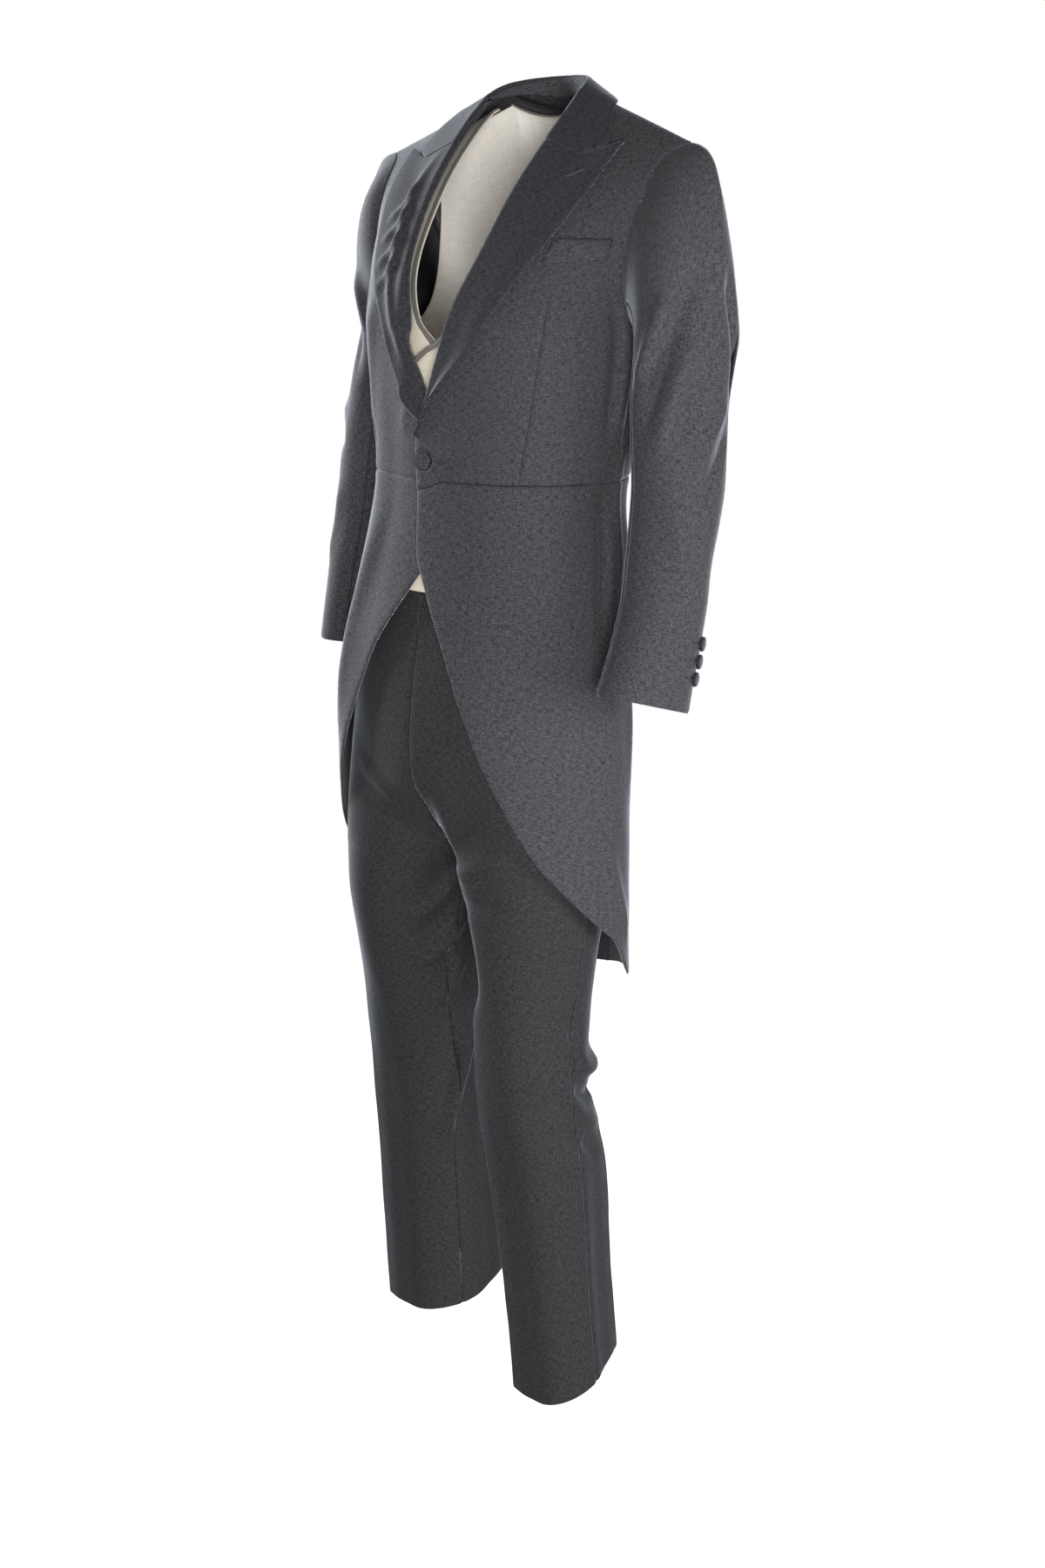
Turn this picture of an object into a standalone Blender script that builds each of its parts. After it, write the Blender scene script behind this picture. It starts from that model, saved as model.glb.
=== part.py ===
"""Three-piece morning suit as worn: cutaway coat, crossover waistcoat and trousers. Metres, +Z up.

The wearer faces -Y, with the left side at +X. Heights in the tables are above the floor that the
wearer stands on. The origin is in the middle of the neck, level with the shoulders. Every piece is
worked out for the left side, and the right one is turned over in X at the end.
"""
import functools
import math
from collections import namedtuple

import bmesh
import bpy
from mathutils import Vector

ORIGIN_HEIGHT = 1.500      # of the origin above the wearer's floor
CLOTH = 0.0020             # wall of the coat and trousers
LINING_CLOTH = 0.0015      # wall of the waistcoat
PIPING = 0.0012            # wall of the satin piping
PIPING_WIDTH = 0.006
PIPING_SHARE = 0.06        # of a waistcoat front's columns that the piping covers
SEAM_GAP = 0.0006          # between two pieces at a seam
LAYER_GAP = 0.0013         # between two pieces that lie on each other
LEFT, RIGHT = 1, -1

# The torso is rings up to the chest line, and above it curves that lean in to the shoulder line.
CHEST_LINE = 1.345
NECK_POINT = Vector((0.070, 0.035, 1.582))
SHOULDER_POINT = Vector((0.222, 0.020, 1.525))
SHOULDER_TURN = 75.0       # degrees round from centre front where the shoulder line ends
RING_SQUARENESS = 2.2
WAIST_SEAM = 1.191
WAIST_SEAM_DIP = 0.011     # at the front edge
TAIL_HEM = 0.641
# The neck line round the back, between the waistcoat's neck points.
NECK_HALF = 0.056
BACK_NECK_DEPTH = 0.040
BACK_NECK_DIP = 0.032      # below the shoulder lines carried on to the middle

Ring = namedtuple("Ring", "height centre width front back")
TORSO = (
    Ring(0.560, -0.055, 0.180, 0.138, 0.113),
    Ring(0.750, -0.055, 0.180, 0.139, 0.109),
    Ring(0.900, -0.055, 0.179, 0.145, 0.107),
    Ring(1.000, -0.055, 0.173, 0.135, 0.109),
    Ring(1.100, -0.045, 0.160, 0.117, 0.110),
    Ring(1.180, -0.035, 0.150, 0.112, 0.108),
    Ring(1.260, -0.022, 0.160, 0.122, 0.122),
    Ring(CHEST_LINE, -0.008, 0.178, 0.137, 0.125),
)

# Seams and edges on the torso: degrees round from centre front at a level.
Edge = namedtuple("Edge", "height angle")
SIDE_SEAM = (Edge(WAIST_SEAM, 100), Edge(1.345, 86))
SIDE_BACK_SEAM = (Edge(TAIL_HEM, 150), Edge(1.000, 155), Edge(WAIST_SEAM, 158), Edge(1.280, 148),
                  Edge(1.360, 133), Edge(1.430, 119))
SKIRT_EDGE = (Edge(TAIL_HEM, 120), Edge(0.649, 113), Edge(0.663, 106), Edge(0.690, 97),
              Edge(0.719, 85), Edge(0.764, 67), Edge(0.807, 53), Edge(0.888, 37), Edge(0.952, 27),
              Edge(1.022, 16), Edge(1.075, 5), Edge(1.110, -1), Edge(WAIST_SEAM, -5))
LAPEL_EDGE = (Edge(1.236, -5.5), Edge(1.265, -0.7), Edge(1.296, 8.2), Edge(1.330, 18.9),
              Edge(1.384, 29.8), Edge(1.442, 37.8), Edge(1.500, 42.0), Edge(1.552, 41.0))
NOTCH = Edge(1.528, 28.9)
COLLAR_CORNER_ANGLE = 36.0
NOTCH_OPENING = 0.0035     # between the collar's corner and the lapel
GORGE = 1.531              # where the lapel's roll line meets the collar

# The armhole, turned round from the shoulder point through the front and the underarm.
Armhole = namedtuple("Armhole", "height angle level")
ARMHOLE = (
    Armhole(0, 66, 1.582), Armhole(15, 60, 1.560), Armhole(35, 61, 1.535),
    Armhole(60, 64.5, 1.505), Armhole(80, 68, 1.465), Armhole(100, 73, 1.420),
    Armhole(120, 78, 1.380), Armhole(150, 86, 1.345), Armhole(180, 96, 1.334),
    Armhole(210, 108, 1.348), Armhole(240, 116, 1.390), Armhole(265, 119, 1.430),
    Armhole(300, 118, 1.490), Armhole(335, 115, 1.550), Armhole(360, 114, 1.582),
)
SIDE_TURN, BACK_TURN = 150, 265      # of the armhole at the side seam and the side back seam

# Front edges: distance from the centre plane at a level.
Reach = namedtuple("Reach", "height x")
ROLL_LINE = (Reach(1.180, -0.016), Reach(1.235, -0.020), Reach(1.283, 0.000), Reach(1.355, 0.028),
             Reach(1.415, 0.048), Reach(1.475, 0.057), Reach(GORGE, 0.063), Reach(1.582, 0.070))
WAISTCOAT_EDGE = (Reach(1.078, -0.055), Reach(1.270, -0.058), Reach(1.296, -0.050), Reach(1.319, -0.024),
                  Reach(1.334, 0.000), Reach(1.352, 0.016), Reach(1.380, 0.028), Reach(1.415, 0.040),
                  Reach(1.475, 0.049), Reach(1.531, 0.056), Reach(1.582, 0.063))
WAISTCOAT_HEM, WAISTCOAT_TOP = 1.078, 1.580
WAISTCOAT_CROSSING = 1.292  # where the piping ends below the V
WAISTCOAT_ARMHOLE = (Edge(1.330, 90), Edge(1.370, 76), Edge(1.450, 62), Edge(1.520, 50), Edge(1.582, 42))

# Lifts off the coat's outer surface, from the outside in.
LAPEL_LIFT = LAYER_GAP + CLOTH
UNDERLAP = 2 * CLOTH + 2 * LAYER_GAP           # of the right front below the left one
PIPING_LIFT = SEAM_GAP + PIPING                # off the waistcoat
WAISTCOAT_LIFT = -(UNDERLAP + CLOTH + PIPING_LIFT + LAYER_GAP)
WAISTCOAT_UNDERLAP = WAISTCOAT_LIFT - LINING_CLOTH - PIPING_LIFT - LAYER_GAP

# Sleeves: rings down the arm. slope is how much higher the ring's front is, for each metre forward.
Sleeve = namedtuple("Sleeve", "height x y half_x half_y slope")
SLEEVES = {
    LEFT: (Sleeve(0.975, 0.236, -0.073, 0.040, 0.056, 0.30), Sleeve(1.067, 0.232, -0.038, 0.041, 0.048, 0.25),
           Sleeve(1.118, 0.228, -0.025, 0.042, 0.047, 0.20), Sleeve(1.186, 0.225, -0.009, 0.045, 0.052, 0.10),
           Sleeve(1.270, 0.222, -0.004, 0.043, 0.059, 0.00), Sleeve(1.330, 0.223, 0.003, 0.042, 0.066, 0.00)),
    RIGHT: (Sleeve(0.975, 0.237, -0.024, 0.040, 0.056, 0.10), Sleeve(1.067, 0.231, -0.018, 0.041, 0.048, 0.10),
            Sleeve(1.118, 0.227, -0.010, 0.042, 0.047, 0.05), Sleeve(1.186, 0.222, 0.000, 0.045, 0.052, 0.00),
            Sleeve(1.270, 0.217, 0.016, 0.043, 0.057, 0.00), Sleeve(1.330, 0.223, 0.038, 0.042, 0.060, 0.00)),
}
FOREARM_TURN = 120         # of the seam down the front of the sleeve
HINDARM_TURN = -45         # of the seam down its back
SLEEVE_HEAD = {LEFT: 0.046, RIGHT: 0.053}      # how far the sleeve stands out from the shoulder point
SLEEVE_CAP_SHARE = 0.36    # of the sleeve panel's rows above the underarm

# Trousers: rings at the hip, and rings down each leg.
HIPS = (Ring(0.780, -0.054, 0.170, 0.127, 0.100), Ring(0.900, -0.054, 0.166, 0.126, 0.099),
        Ring(1.000, -0.052, 0.155, 0.117, 0.098), Ring(1.100, -0.045, 0.138, 0.098, 0.092),
        Ring(1.130, -0.040, 0.134, 0.094, 0.089))
Leg = namedtuple("Leg", "height x y half_x half_y")
LEGS = {
    LEFT: (Leg(0.120, 0.122, -0.052, 0.050, 0.058), Leg(0.300, 0.117, -0.068, 0.050, 0.059),
           Leg(0.430, 0.112, -0.079, 0.054, 0.064), Leg(0.530, 0.105, -0.094, 0.056, 0.064),
           Leg(0.650, 0.094, -0.083, 0.064, 0.073), Leg(0.775, 0.083, -0.070, 0.083, 0.092)),
    RIGHT: (Leg(0.120, 0.138, 0.010, 0.058, 0.070), Leg(0.250, 0.134, 0.000, 0.058, 0.072),
            Leg(0.370, 0.128, -0.013, 0.058, 0.071), Leg(0.480, 0.122, -0.020, 0.066, 0.077),
            Leg(0.600, 0.108, -0.049, 0.066, 0.079), Leg(0.710, 0.098, -0.064, 0.074, 0.093),
            Leg(0.775, 0.086, -0.069, 0.086, 0.095)),
}
Hem = namedtuple("Hem", "front back")
TROUSER_HEMS = {LEFT: Hem(0.143, 0.187), RIGHT: Hem(0.149, 0.168)}
HIP_END, CROTCH = 0.960, 0.775
FORK_ROUNDNESS = 3.0       # of the curve from the fly down to the fork
TROUSER_TOP, WAISTBAND_TOP = 1.085, 1.125


def smooth_table(rows, height):
    """The rows' columns at a height, by a cubic through them with level ends."""
    if height <= rows[0].height:
        return rows[0]
    if height >= rows[-1].height:
        return rows[-1]
    upper = next(i for i, row in enumerate(rows) if row.height > height)
    low, high = rows[upper - 1], rows[upper]
    before, after = rows[max(upper - 2, 0)], rows[min(upper + 1, len(rows) - 1)]
    span = high.height - low.height
    t = (height - low.height) / span
    t2, t3 = t * t, t * t * t
    columns = []
    for a, b, c, d in zip(before, low, high, after):
        slope_b = (c - a) / (high.height - before.height) * span
        slope_c = (d - b) / (after.height - low.height) * span
        columns.append((2 * t3 - 3 * t2 + 1) * b + (t3 - 2 * t2 + t) * slope_b
                       + (3 * t2 - 2 * t3) * c + (t3 - t2) * slope_c)
    return type(low)(*columns)


def blend(a, b, t):
    return a + (b - a) * t


def even(first, last, steps):
    return [blend(first, last, step / steps) for step in range(steps + 1)]


def mirrored(vector, side):
    return Vector((vector.x * side, vector.y, vector.z))


def smooth(t):
    t = min(max(t, 0.0), 1.0)
    return t * t * (3 - 2 * t)


def power(value, exponent):
    return math.copysign(abs(value) ** exponent, value)


def shoulder_spread(level):
    """How much wider than the chest ring the torso is at a level above the chest line."""
    rise = min(max((level - CHEST_LINE) / (NECK_POINT.z - CHEST_LINE), 0.0), 1.0)
    chest = TORSO[-1].width * math.sin(math.radians(SHOULDER_TURN)) ** (2 / RING_SQUARENESS)
    return 1 + (SHOULDER_POINT.x / chest - 1) * rise ** 1.5


def torso(angle, level):
    """The coat's outer surface: angle in degrees from centre front to the wearer's left."""
    turn = math.radians(angle)
    ring = smooth_table(TORSO, min(level, CHEST_LINE))
    x = ring.width * power(math.sin(turn), 2 / RING_SQUARENESS)
    along = power(math.cos(turn), 2 / RING_SQUARENESS)
    y = ring.centre - (ring.front if along > 0 else ring.back) * along
    if level <= CHEST_LINE:
        return Vector((x, y, level - ORIGIN_HEIGHT))
    rise = min((level - CHEST_LINE) / (NECK_POINT.z - CHEST_LINE), 1.0)
    x *= shoulder_spread(level)
    top = NECK_POINT.lerp(SHOULDER_POINT, (abs(x) - NECK_POINT.x) / (SHOULDER_POINT.x - NECK_POINT.x))
    if along < 0:
        middle = max(1 - (x / NECK_HALF) ** 2, 0)
        top += Vector((0, BACK_NECK_DEPTH, -BACK_NECK_DIP)) * middle
    y = top.y + (y - top.y) * (1 - rise ** 1.5) ** 0.8
    return Vector((x, y, blend(CHEST_LINE, top.z, rise) - ORIGIN_HEIGHT))


def angle_at(x, level):
    """The angle on the front of the torso where the surface is x from the centre plane."""
    width = smooth_table(TORSO, min(level, CHEST_LINE)).width * shoulder_spread(level)
    return math.degrees(math.asin(power(max(min(x / width, 1), -1), RING_SQUARENESS / 2)))


def waist_level(angle):
    """The waist seam's level, which dips at the front edge."""
    return WAIST_SEAM - WAIST_SEAM_DIP * smooth((8 - angle) / 13)


def bisect(rule, low, high, wanted):
    """Where a rule that rises or falls steadily from low to high gives the wanted value."""
    rising = rule(high) > rule(low)
    for _ in range(30):
        middle = (low + high) / 2
        if (rule(middle) < wanted) == rising:
            low = middle
        else:
            high = middle
    return (low + high) / 2


def armhole_angle(level, low_turn, high_turn):
    turn = bisect(lambda value: smooth_table(ARMHOLE, value).level, low_turn, high_turn, level)
    return smooth_table(ARMHOLE, turn).angle


def under_armhole_level(angle):
    turn = bisect(lambda value: smooth_table(ARMHOLE, value).angle, SIDE_TURN, BACK_TURN, angle)
    return smooth_table(ARMHOLE, turn).level


def side_seam(level):
    rise = (level - SIDE_SEAM[0].height) / (SIDE_SEAM[1].height - SIDE_SEAM[0].height)
    return blend(SIDE_SEAM[0].angle, SIDE_SEAM[1].angle, min(rise, 1))


def side_back_seam(level):
    return smooth_table(SIDE_BACK_SEAM, level).angle


def roll_angle(level):
    return angle_at(smooth_table(ROLL_LINE, level).x, level)


# Each surface below gives the outer side of one piece, for s across it and t up it, both 0 to 1.

def forepart(s, t):
    def across(level):
        side = side_seam(level) if level < SIDE_SEAM[1].height else armhole_angle(level, 0, SIDE_TURN)
        return blend(roll_angle(level), side, s)
    level = blend(waist_level(across(WAIST_SEAM)), NECK_POINT.z, t)
    return across(level), level


@functools.cache
def side_body_top(s):
    """The level where the side body's line s meets the armhole."""
    def above_armhole(level):
        return level - under_armhole_level(blend(side_seam(level), side_back_seam(level), s))
    return bisect(above_armhole, CHEST_LINE - 0.025, SIDE_BACK_SEAM[-1].height, 0)


def side_body(s, t):
    level = blend(WAIST_SEAM, side_body_top(s), t)
    return blend(side_seam(level), side_back_seam(level), s), level


def back(s, t):
    level = blend(TAIL_HEM, NECK_POINT.z, t)
    if level < SIDE_BACK_SEAM[-1].height:
        side = side_back_seam(level)
    else:
        side = armhole_angle(level, BACK_TURN, 360)
    return blend(side, 180, s), level


def skirt(s, t):
    def across(level):
        return blend(smooth_table(SKIRT_EDGE, level).angle, side_back_seam(level), s)
    level = blend(TAIL_HEM, waist_level(across(WAIST_SEAM)), t)
    return across(level), level


def lapel_share(angle):
    """How far across the lapel's top an angle is, from the roll line (0) to the peak (1)."""
    return (angle - roll_angle(GORGE)) / (LAPEL_EDGE[-1].angle - roll_angle(GORGE))


def lapel(s, t):
    notch = lapel_share(NOTCH.angle)
    dip = s / notch if s < notch else (1 - s) / (1 - notch)
    flat_top = blend(GORGE, LAPEL_EDGE[-1].height, notch)
    inner = blend(ROLL_LINE[1].height, GORGE, t)
    outer = blend(LAPEL_EDGE[0].height, LAPEL_EDGE[-1].height, t)
    level = blend(inner, outer, s) - (flat_top - NOTCH.height) * dip * t ** 4
    return blend(roll_angle(inner), smooth_table(LAPEL_EDGE, outer).angle, s), level


def waistcoat_front(s, t):
    """Its first column, up to PIPING_SHARE, is as wide as the piping along the V."""
    level = blend(WAISTCOAT_HEM, WAISTCOAT_TOP, t)
    step = 0.002
    slant = smooth_table(WAISTCOAT_EDGE, level + step).x - smooth_table(WAISTCOAT_EDGE, level - step).x
    width = PIPING_WIDTH * min(math.hypot(1, slant / (2 * step)), 2.5)
    edge = smooth_table(WAISTCOAT_EDGE, level).x
    if s < PIPING_SHARE:
        return angle_at(edge + width * s / PIPING_SHARE, level), level
    side = smooth_table(WAISTCOAT_ARMHOLE, level).angle
    return blend(angle_at(edge + width, level), side, (s - PIPING_SHARE) / (1 - PIPING_SHARE)), level


def waistcoat_piping(s, t):
    """Over the first column of the front, from the crossing up the V."""
    return waistcoat_front(PIPING_SHARE * s, blend(waistcoat_share(WAISTCOAT_CROSSING), 1, t))


def waistcoat_share(level):
    return (level - WAISTCOAT_HEM) / (WAISTCOAT_TOP - WAISTCOAT_HEM)


def waistcoat_back(s, t):
    """From the left side round the back to the right side."""
    level = blend(WAISTCOAT_HEM, WAISTCOAT_TOP, t)
    side = 180 - smooth_table(WAISTCOAT_ARMHOLE, level).angle
    return blend(side, 360 - side, s), level


def back_neck_piping(s, t):
    """Along the neck edge of the waistcoat's back, between its neck points."""
    neck = waistcoat_back_neck()
    return waistcoat_back(blend(neck, 1 - neck, s), blend(waistcoat_share(WAISTCOAT_TOP - PIPING_WIDTH), 1, t))


def waistcoat_back_neck():
    """How far across the waistcoat's back its first neck point is."""
    side = 180 - WAISTCOAT_ARMHOLE[-1].angle
    return (180 - angle_at(NECK_HALF, WAISTCOAT_TOP) - side) / (360 - 2 * side)


def right_underlap(angle, level, depth):
    """How far the right front lies under the left one near the centre."""
    return -depth * smooth((42 - angle) / 20) * smooth((1.400 - level) / 0.06)


def torso_normal(angle, level):
    """The way out of the torso. At the shoulder line it is the same for the front and the back."""
    turn, turn_step, level_step = math.radians(angle), 0.5, 0.002
    across = torso(angle + turn_step, level) - torso(angle - turn_step, level)
    up = torso(angle, min(level + level_step, NECK_POINT.z)) - torso(angle, level - level_step)
    out = across.cross(up).normalized()
    rise = (level - CHEST_LINE) / (NECK_POINT.z - CHEST_LINE)
    fall = (NECK_POINT.z - SHOULDER_POINT.z) / (SHOULDER_POINT.x - NECK_POINT.x)
    outwards = min(max(torso(angle, level).x / NECK_HALF, -1), 1)
    backwards = 1 - outwards ** 2 if math.cos(turn) < 0 else 0
    shoulder = Vector((fall * outwards, backwards, 1)).normalized()
    return out.lerp(shoulder, smooth((rise - 0.75) / 0.25)).normalized()


def on_torso(outline, lift=0.0):
    """A surface from an outline that gives angle and level, lifted off the coat's outer side."""
    def surface(s, t):
        angle, level = outline(s, t)
        out = torso_normal(angle, level)
        height = lift(angle, level) if callable(lift) else lift
        return torso(angle, level) + out * height, out
    return surface


def with_normals(surface):
    """Adds the way out, from nearby points, to a surface that gives only its points."""
    def both(s, t):
        step = 0.004
        across = surface(s + step, t) - surface(s - step, t)
        up = surface(s, t + step) - surface(s, t - step)
        return surface(s, t), across.cross(up).normalized()
    return both


def sleeve(side, first_turn, last_turn):
    """Part of a sleeve between two turns round it, from the armhole down to the cuff."""
    rings = SLEEVES[side]

    def ring_point(turn, height):
        ring = smooth_table(rings, height)
        forward = ring.half_y * math.sin(turn)
        return Vector((ring.x + ring.half_x * math.cos(turn), ring.y - forward,
                       height + ring.slope * forward - ORIGIN_HEIGHT))

    def surface(s, t):
        degrees = blend(first_turn, last_turn, s)
        turn = math.radians(degrees)
        if t > SLEEVE_CAP_SHARE:
            return ring_point(turn, blend(rings[-1].height, rings[0].height,
                                          (t - SLEEVE_CAP_SHARE) / (1 - SLEEVE_CAP_SHARE)))
        hole = smooth_table(ARMHOLE, degrees % 360)
        out = Vector((1.0, -0.5 * math.sin(turn), 0.0)).normalized()
        start = torso(hole.angle, hole.level) + out * 3 * SEAM_GAP
        end = ring_point(turn, rings[-1].height)
        drop = start.z - end.z
        head = start + out * (SLEEVE_HEAD[side] * drop / (SHOULDER_POINT.z - rings[-1].height))
        elbow = end + Vector((0, 0, 0.6 * drop))
        u = max(t, 0) / SLEEVE_CAP_SHARE
        return (start * (1 - u) ** 3 + head * 3 * u * (1 - u) ** 2
                + elbow * 3 * u * u * (1 - u) + end * u ** 3)
    return with_normals(surface)


def trouser_leg(side, first_turn, last_turn):
    """Part of a trouser leg, hip included. Turns run from the inseam (-90) round the front."""
    hem = TROUSER_HEMS[side]

    def surface(s, t):
        turn = blend(first_turn, last_turn, s)
        radians = math.radians(turn)
        hem_height = blend(hem.front, hem.back, (1 - math.cos(radians)) / 2)
        height = blend(hem_height, TROUSER_TOP, t)
        leg = smooth_table(LEGS[side], height)
        on_leg = Vector((leg.x + leg.half_x * math.sin(radians), leg.y - leg.half_y * math.cos(radians)))
        ring = smooth_table(HIPS, height)
        hip_turn = math.radians((turn + 90) / 2)
        along = power(math.cos(hip_turn), 2 / RING_SQUARENESS)
        on_hip = Vector((ring.width * power(math.sin(hip_turn), 2 / RING_SQUARENESS),
                         ring.centre - (ring.front if along > 0 else ring.back) * along))
        fall = min(max((HIP_END - height) / (HIP_END - CROTCH), 0), 1)
        inner = ((1 - math.sin(radians)) / 2) ** 2
        point = on_hip.lerp(on_leg, blend(smooth(fall), 1 - math.sqrt(1 - fall ** FORK_ROUNDNESS), inner))
        return Vector((point.x, point.y, height - ORIGIN_HEIGHT))
    return with_normals(surface)


def waistband(s, t):
    height = blend(TROUSER_TOP + SEAM_GAP, WAISTBAND_TOP, t)
    ring = smooth_table(HIPS, height)
    turn = math.radians(blend(0, 180, s))
    along = power(math.cos(turn), 2 / RING_SQUARENESS)
    return Vector((ring.width * power(math.sin(turn), 2 / RING_SQUARENESS),
                   ring.centre - (ring.front if along > 0 else ring.back) * along, height - ORIGIN_HEIGHT))


# The collar, from the front end (0) to the centre back (1) and a row beyond it: its fold, its outer
# edge and the stand's foot. The first column is the way along it.
Collar = namedtuple("Collar", "height fold_x fold_y fold_z edge_x edge_y edge_z foot_x foot_y foot_z")
COLLAR = (
    Collar(0.00, 0.063, -0.034, 1.533, 0.135, -0.013, 1.531, 0.066, -0.020, 1.545),
    Collar(0.25, 0.065, -0.004, 1.566, 0.116, 0.012, 1.558, 0.066, 0.004, 1.572),
    Collar(0.50, 0.061, 0.026, 1.591, 0.103, 0.032, 1.570, 0.061, 0.0285, 1.580),
    Collar(0.75, 0.043, 0.053, 1.601, 0.066, 0.068, 1.571, 0.038, 0.049, 1.584),
    Collar(1.00, 0.000, 0.069, 1.604, 0.000, 0.089, 1.566, 0.000, 0.067, 1.580),
    Collar(1.25, -0.043, 0.053, 1.601, -0.066, 0.068, 1.571, -0.038, 0.049, 1.584),
)
COLLAR_BULGE = 0.003
STAND_START = 0.42         # the stand's front end, on the way to the centre back


def clear_of_torso(point, lift):
    """The point, moved out until it is clear of the coat's shoulders."""
    nearest = min(SHOULDER_SAMPLES, key=lambda sample: (sample[0] - point).length_squared)
    short = lift - (point - nearest[0]).dot(nearest[1])
    return point + nearest[1] * max(short, 0)


def collar_fall(s, t):
    """From the fold (0) to the outer edge (1), and from the left front end round to the right one."""
    way = 1 - abs(1 - 2 * t)
    row = smooth_table(COLLAR, way)
    fold = Vector((row.fold_x, row.fold_y, row.fold_z - ORIGIN_HEIGHT))
    edge = Vector((row.edge_x, row.edge_y, row.edge_z - ORIGIN_HEIGHT))
    point = fold.lerp(edge, s)
    if way < 0.4:
        start = COLLAR[0]
        notch, corner = (lapel_share(angle) for angle in (NOTCH.angle, COLLAR_CORNER_ANGLE))
        angle, level = lapel(corner * s, 1)
        opening = NOTCH_OPENING * max(corner * s - notch, 0) / (corner - notch)
        on_lapel = torso(angle, level + 3 * SEAM_GAP + opening) + torso_normal(angle, level) * LAPEL_LIFT
        straight = Vector((start.fold_x, start.fold_y, start.fold_z - ORIGIN_HEIGHT)).lerp(
            Vector((start.edge_x, start.edge_y, start.edge_z - ORIGIN_HEIGHT)), s)
        point += (on_lapel - straight) * (1 - way / 0.4) ** 2
    point.z += COLLAR_BULGE * math.sin(math.pi * s) * way
    point = clear_of_torso(point, LAPEL_LIFT + SEAM_GAP)
    return Vector((point.x if t < 0.5 else -point.x, point.y, point.z))


def collar_stand(s, t):
    """Inside the fall, from the neck seam (0) up to below the fold (1), right to left."""
    way = 1 - abs(1 - 2 * blend(STAND_START / 2, 1 - STAND_START / 2, s))
    row = smooth_table(COLLAR, way)
    fold, out = with_normals(collar_fall)(0, way / 2)
    top = fold - out * (2 * CLOTH + LAYER_GAP)
    foot = Vector((row.foot_x, row.foot_y, row.foot_z - ORIGIN_HEIGHT))
    point = foot.lerp(top, t)
    return Vector((point.x if s > 0.5 else -point.x, point.y, point.z))


def shoulder_samples():
    """Points and ways out all over the shoulders and the upper back, up to the neck line."""
    angles = [turn for turn in range(-176, 181, 4) if abs(turn) > 90 or abs(torso(turn, 1.5).x) > NECK_POINT.x]
    return [(torso(angle, level), torso_normal(angle, level))
            for angle in angles for level in even(1.490, NECK_POINT.z - 0.001, 13)]


SHOULDER_SAMPLES = shoulder_samples()


# Building

def fresh_collections():
    for old in list(bpy.data.objects):
        bpy.data.objects.remove(old, do_unlink=True)
    suit = bpy.data.collections.new("three_piece_suit")
    bpy.context.scene.collection.children.link(suit)
    return suit


def make_material(name, colour, roughness):
    material = bpy.data.materials.new(name)
    material.use_nodes = True
    shader = material.node_tree.nodes["Principled BSDF"]
    shader.inputs["Base Color"].default_value = (*colour, 1)
    shader.inputs["Roughness"].default_value = roughness
    shader.inputs["Metallic"].default_value = 0
    return material


def add_object(name, mesh, material):
    mesh.materials.append(material)
    item = bpy.data.objects.new(name, mesh)
    SUIT.objects.link(item)
    return item


def add_cloth(name, surface, across, up, material, side=LEFT, wall=CLOTH):
    """A wall of cloth with the surface as its outer side, short of each seam by half the gap.
    across and up are each a count of even steps or the list of the steps' places from 0 to 1."""
    def margin(first, last):
        return 0.5 * SEAM_GAP / max((last - first).length, 0.01)
    columns, rows = (steps if isinstance(steps, list) else even(0, 1, steps) for steps in (across, up))
    mesh = bmesh.new()
    bmesh.ops.create_grid(mesh, x_segments=len(columns) - 1, y_segments=len(rows) - 1, size=0.5)
    skin = list(mesh.verts)
    inner = bmesh.ops.duplicate(mesh, geom=list(mesh.verts) + list(mesh.edges) + list(mesh.faces))["vert_map"]
    for vertex in skin:
        s = columns[round((vertex.co.x + 0.5) * (len(columns) - 1))]
        t = rows[round((vertex.co.y + 0.5) * (len(rows) - 1))]
        width = margin(surface(0, t)[0], surface(1, t)[0])
        s = blend(width, 1 - width, s)
        height = margin(surface(s, 0)[0], surface(s, 1)[0])
        point, out = surface(s, blend(height, 1 - height, t))
        vertex.co = mirrored(point, side)
        inner[vertex].co = mirrored(point - out * wall, side)
    bmesh.ops.bridge_loops(mesh, edges=[edge for edge in mesh.edges if edge.is_boundary])
    bmesh.ops.recalc_face_normals(mesh, faces=mesh.faces)
    data = bpy.data.meshes.new(name)
    mesh.to_mesh(data)
    mesh.free()
    data.shade_smooth()
    data.set_sharp_from_angle(angle=math.radians(50))
    return add_object(name, data, material)


def add_button(name, place, out, diameter, thickness, material):
    """A cloth-covered button: a short cylinder with its rims rounded into a dome."""
    mesh = bmesh.new()
    bmesh.ops.create_cone(mesh, cap_ends=True, segments=20, radius1=diameter / 2, radius2=diameter / 2,
                          depth=thickness)
    top_rim = [edge for edge in mesh.edges if all(vertex.co.z > 0 for vertex in edge.verts)]
    bmesh.ops.bevel(mesh, geom=top_rim, offset=thickness * 0.7, segments=3, profile=0.6, affect="EDGES")
    data = bpy.data.meshes.new(name)
    mesh.to_mesh(data)
    mesh.free()
    data.shade_smooth()
    data.set_sharp_from_angle(angle=math.radians(50))
    button = add_object(name, data, material)
    button.rotation_mode = "QUATERNION"
    button.rotation_quaternion = out.to_track_quat("Z", "Y")
    button.location = place + out * (thickness / 2)
    return button


SUIT = fresh_collections()
SUIT_WOOL = make_material("charcoal_wool", (0.055, 0.055, 0.060), 0.85)
TROUSER_WOOL = make_material("dark_charcoal_wool", (0.035, 0.035, 0.038), 0.85)
IVORY = make_material("ivory_twill", (0.80, 0.73, 0.60), 0.75)
GREY_SATIN = make_material("grey_satin", (0.22, 0.20, 0.19), 0.45)

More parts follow.
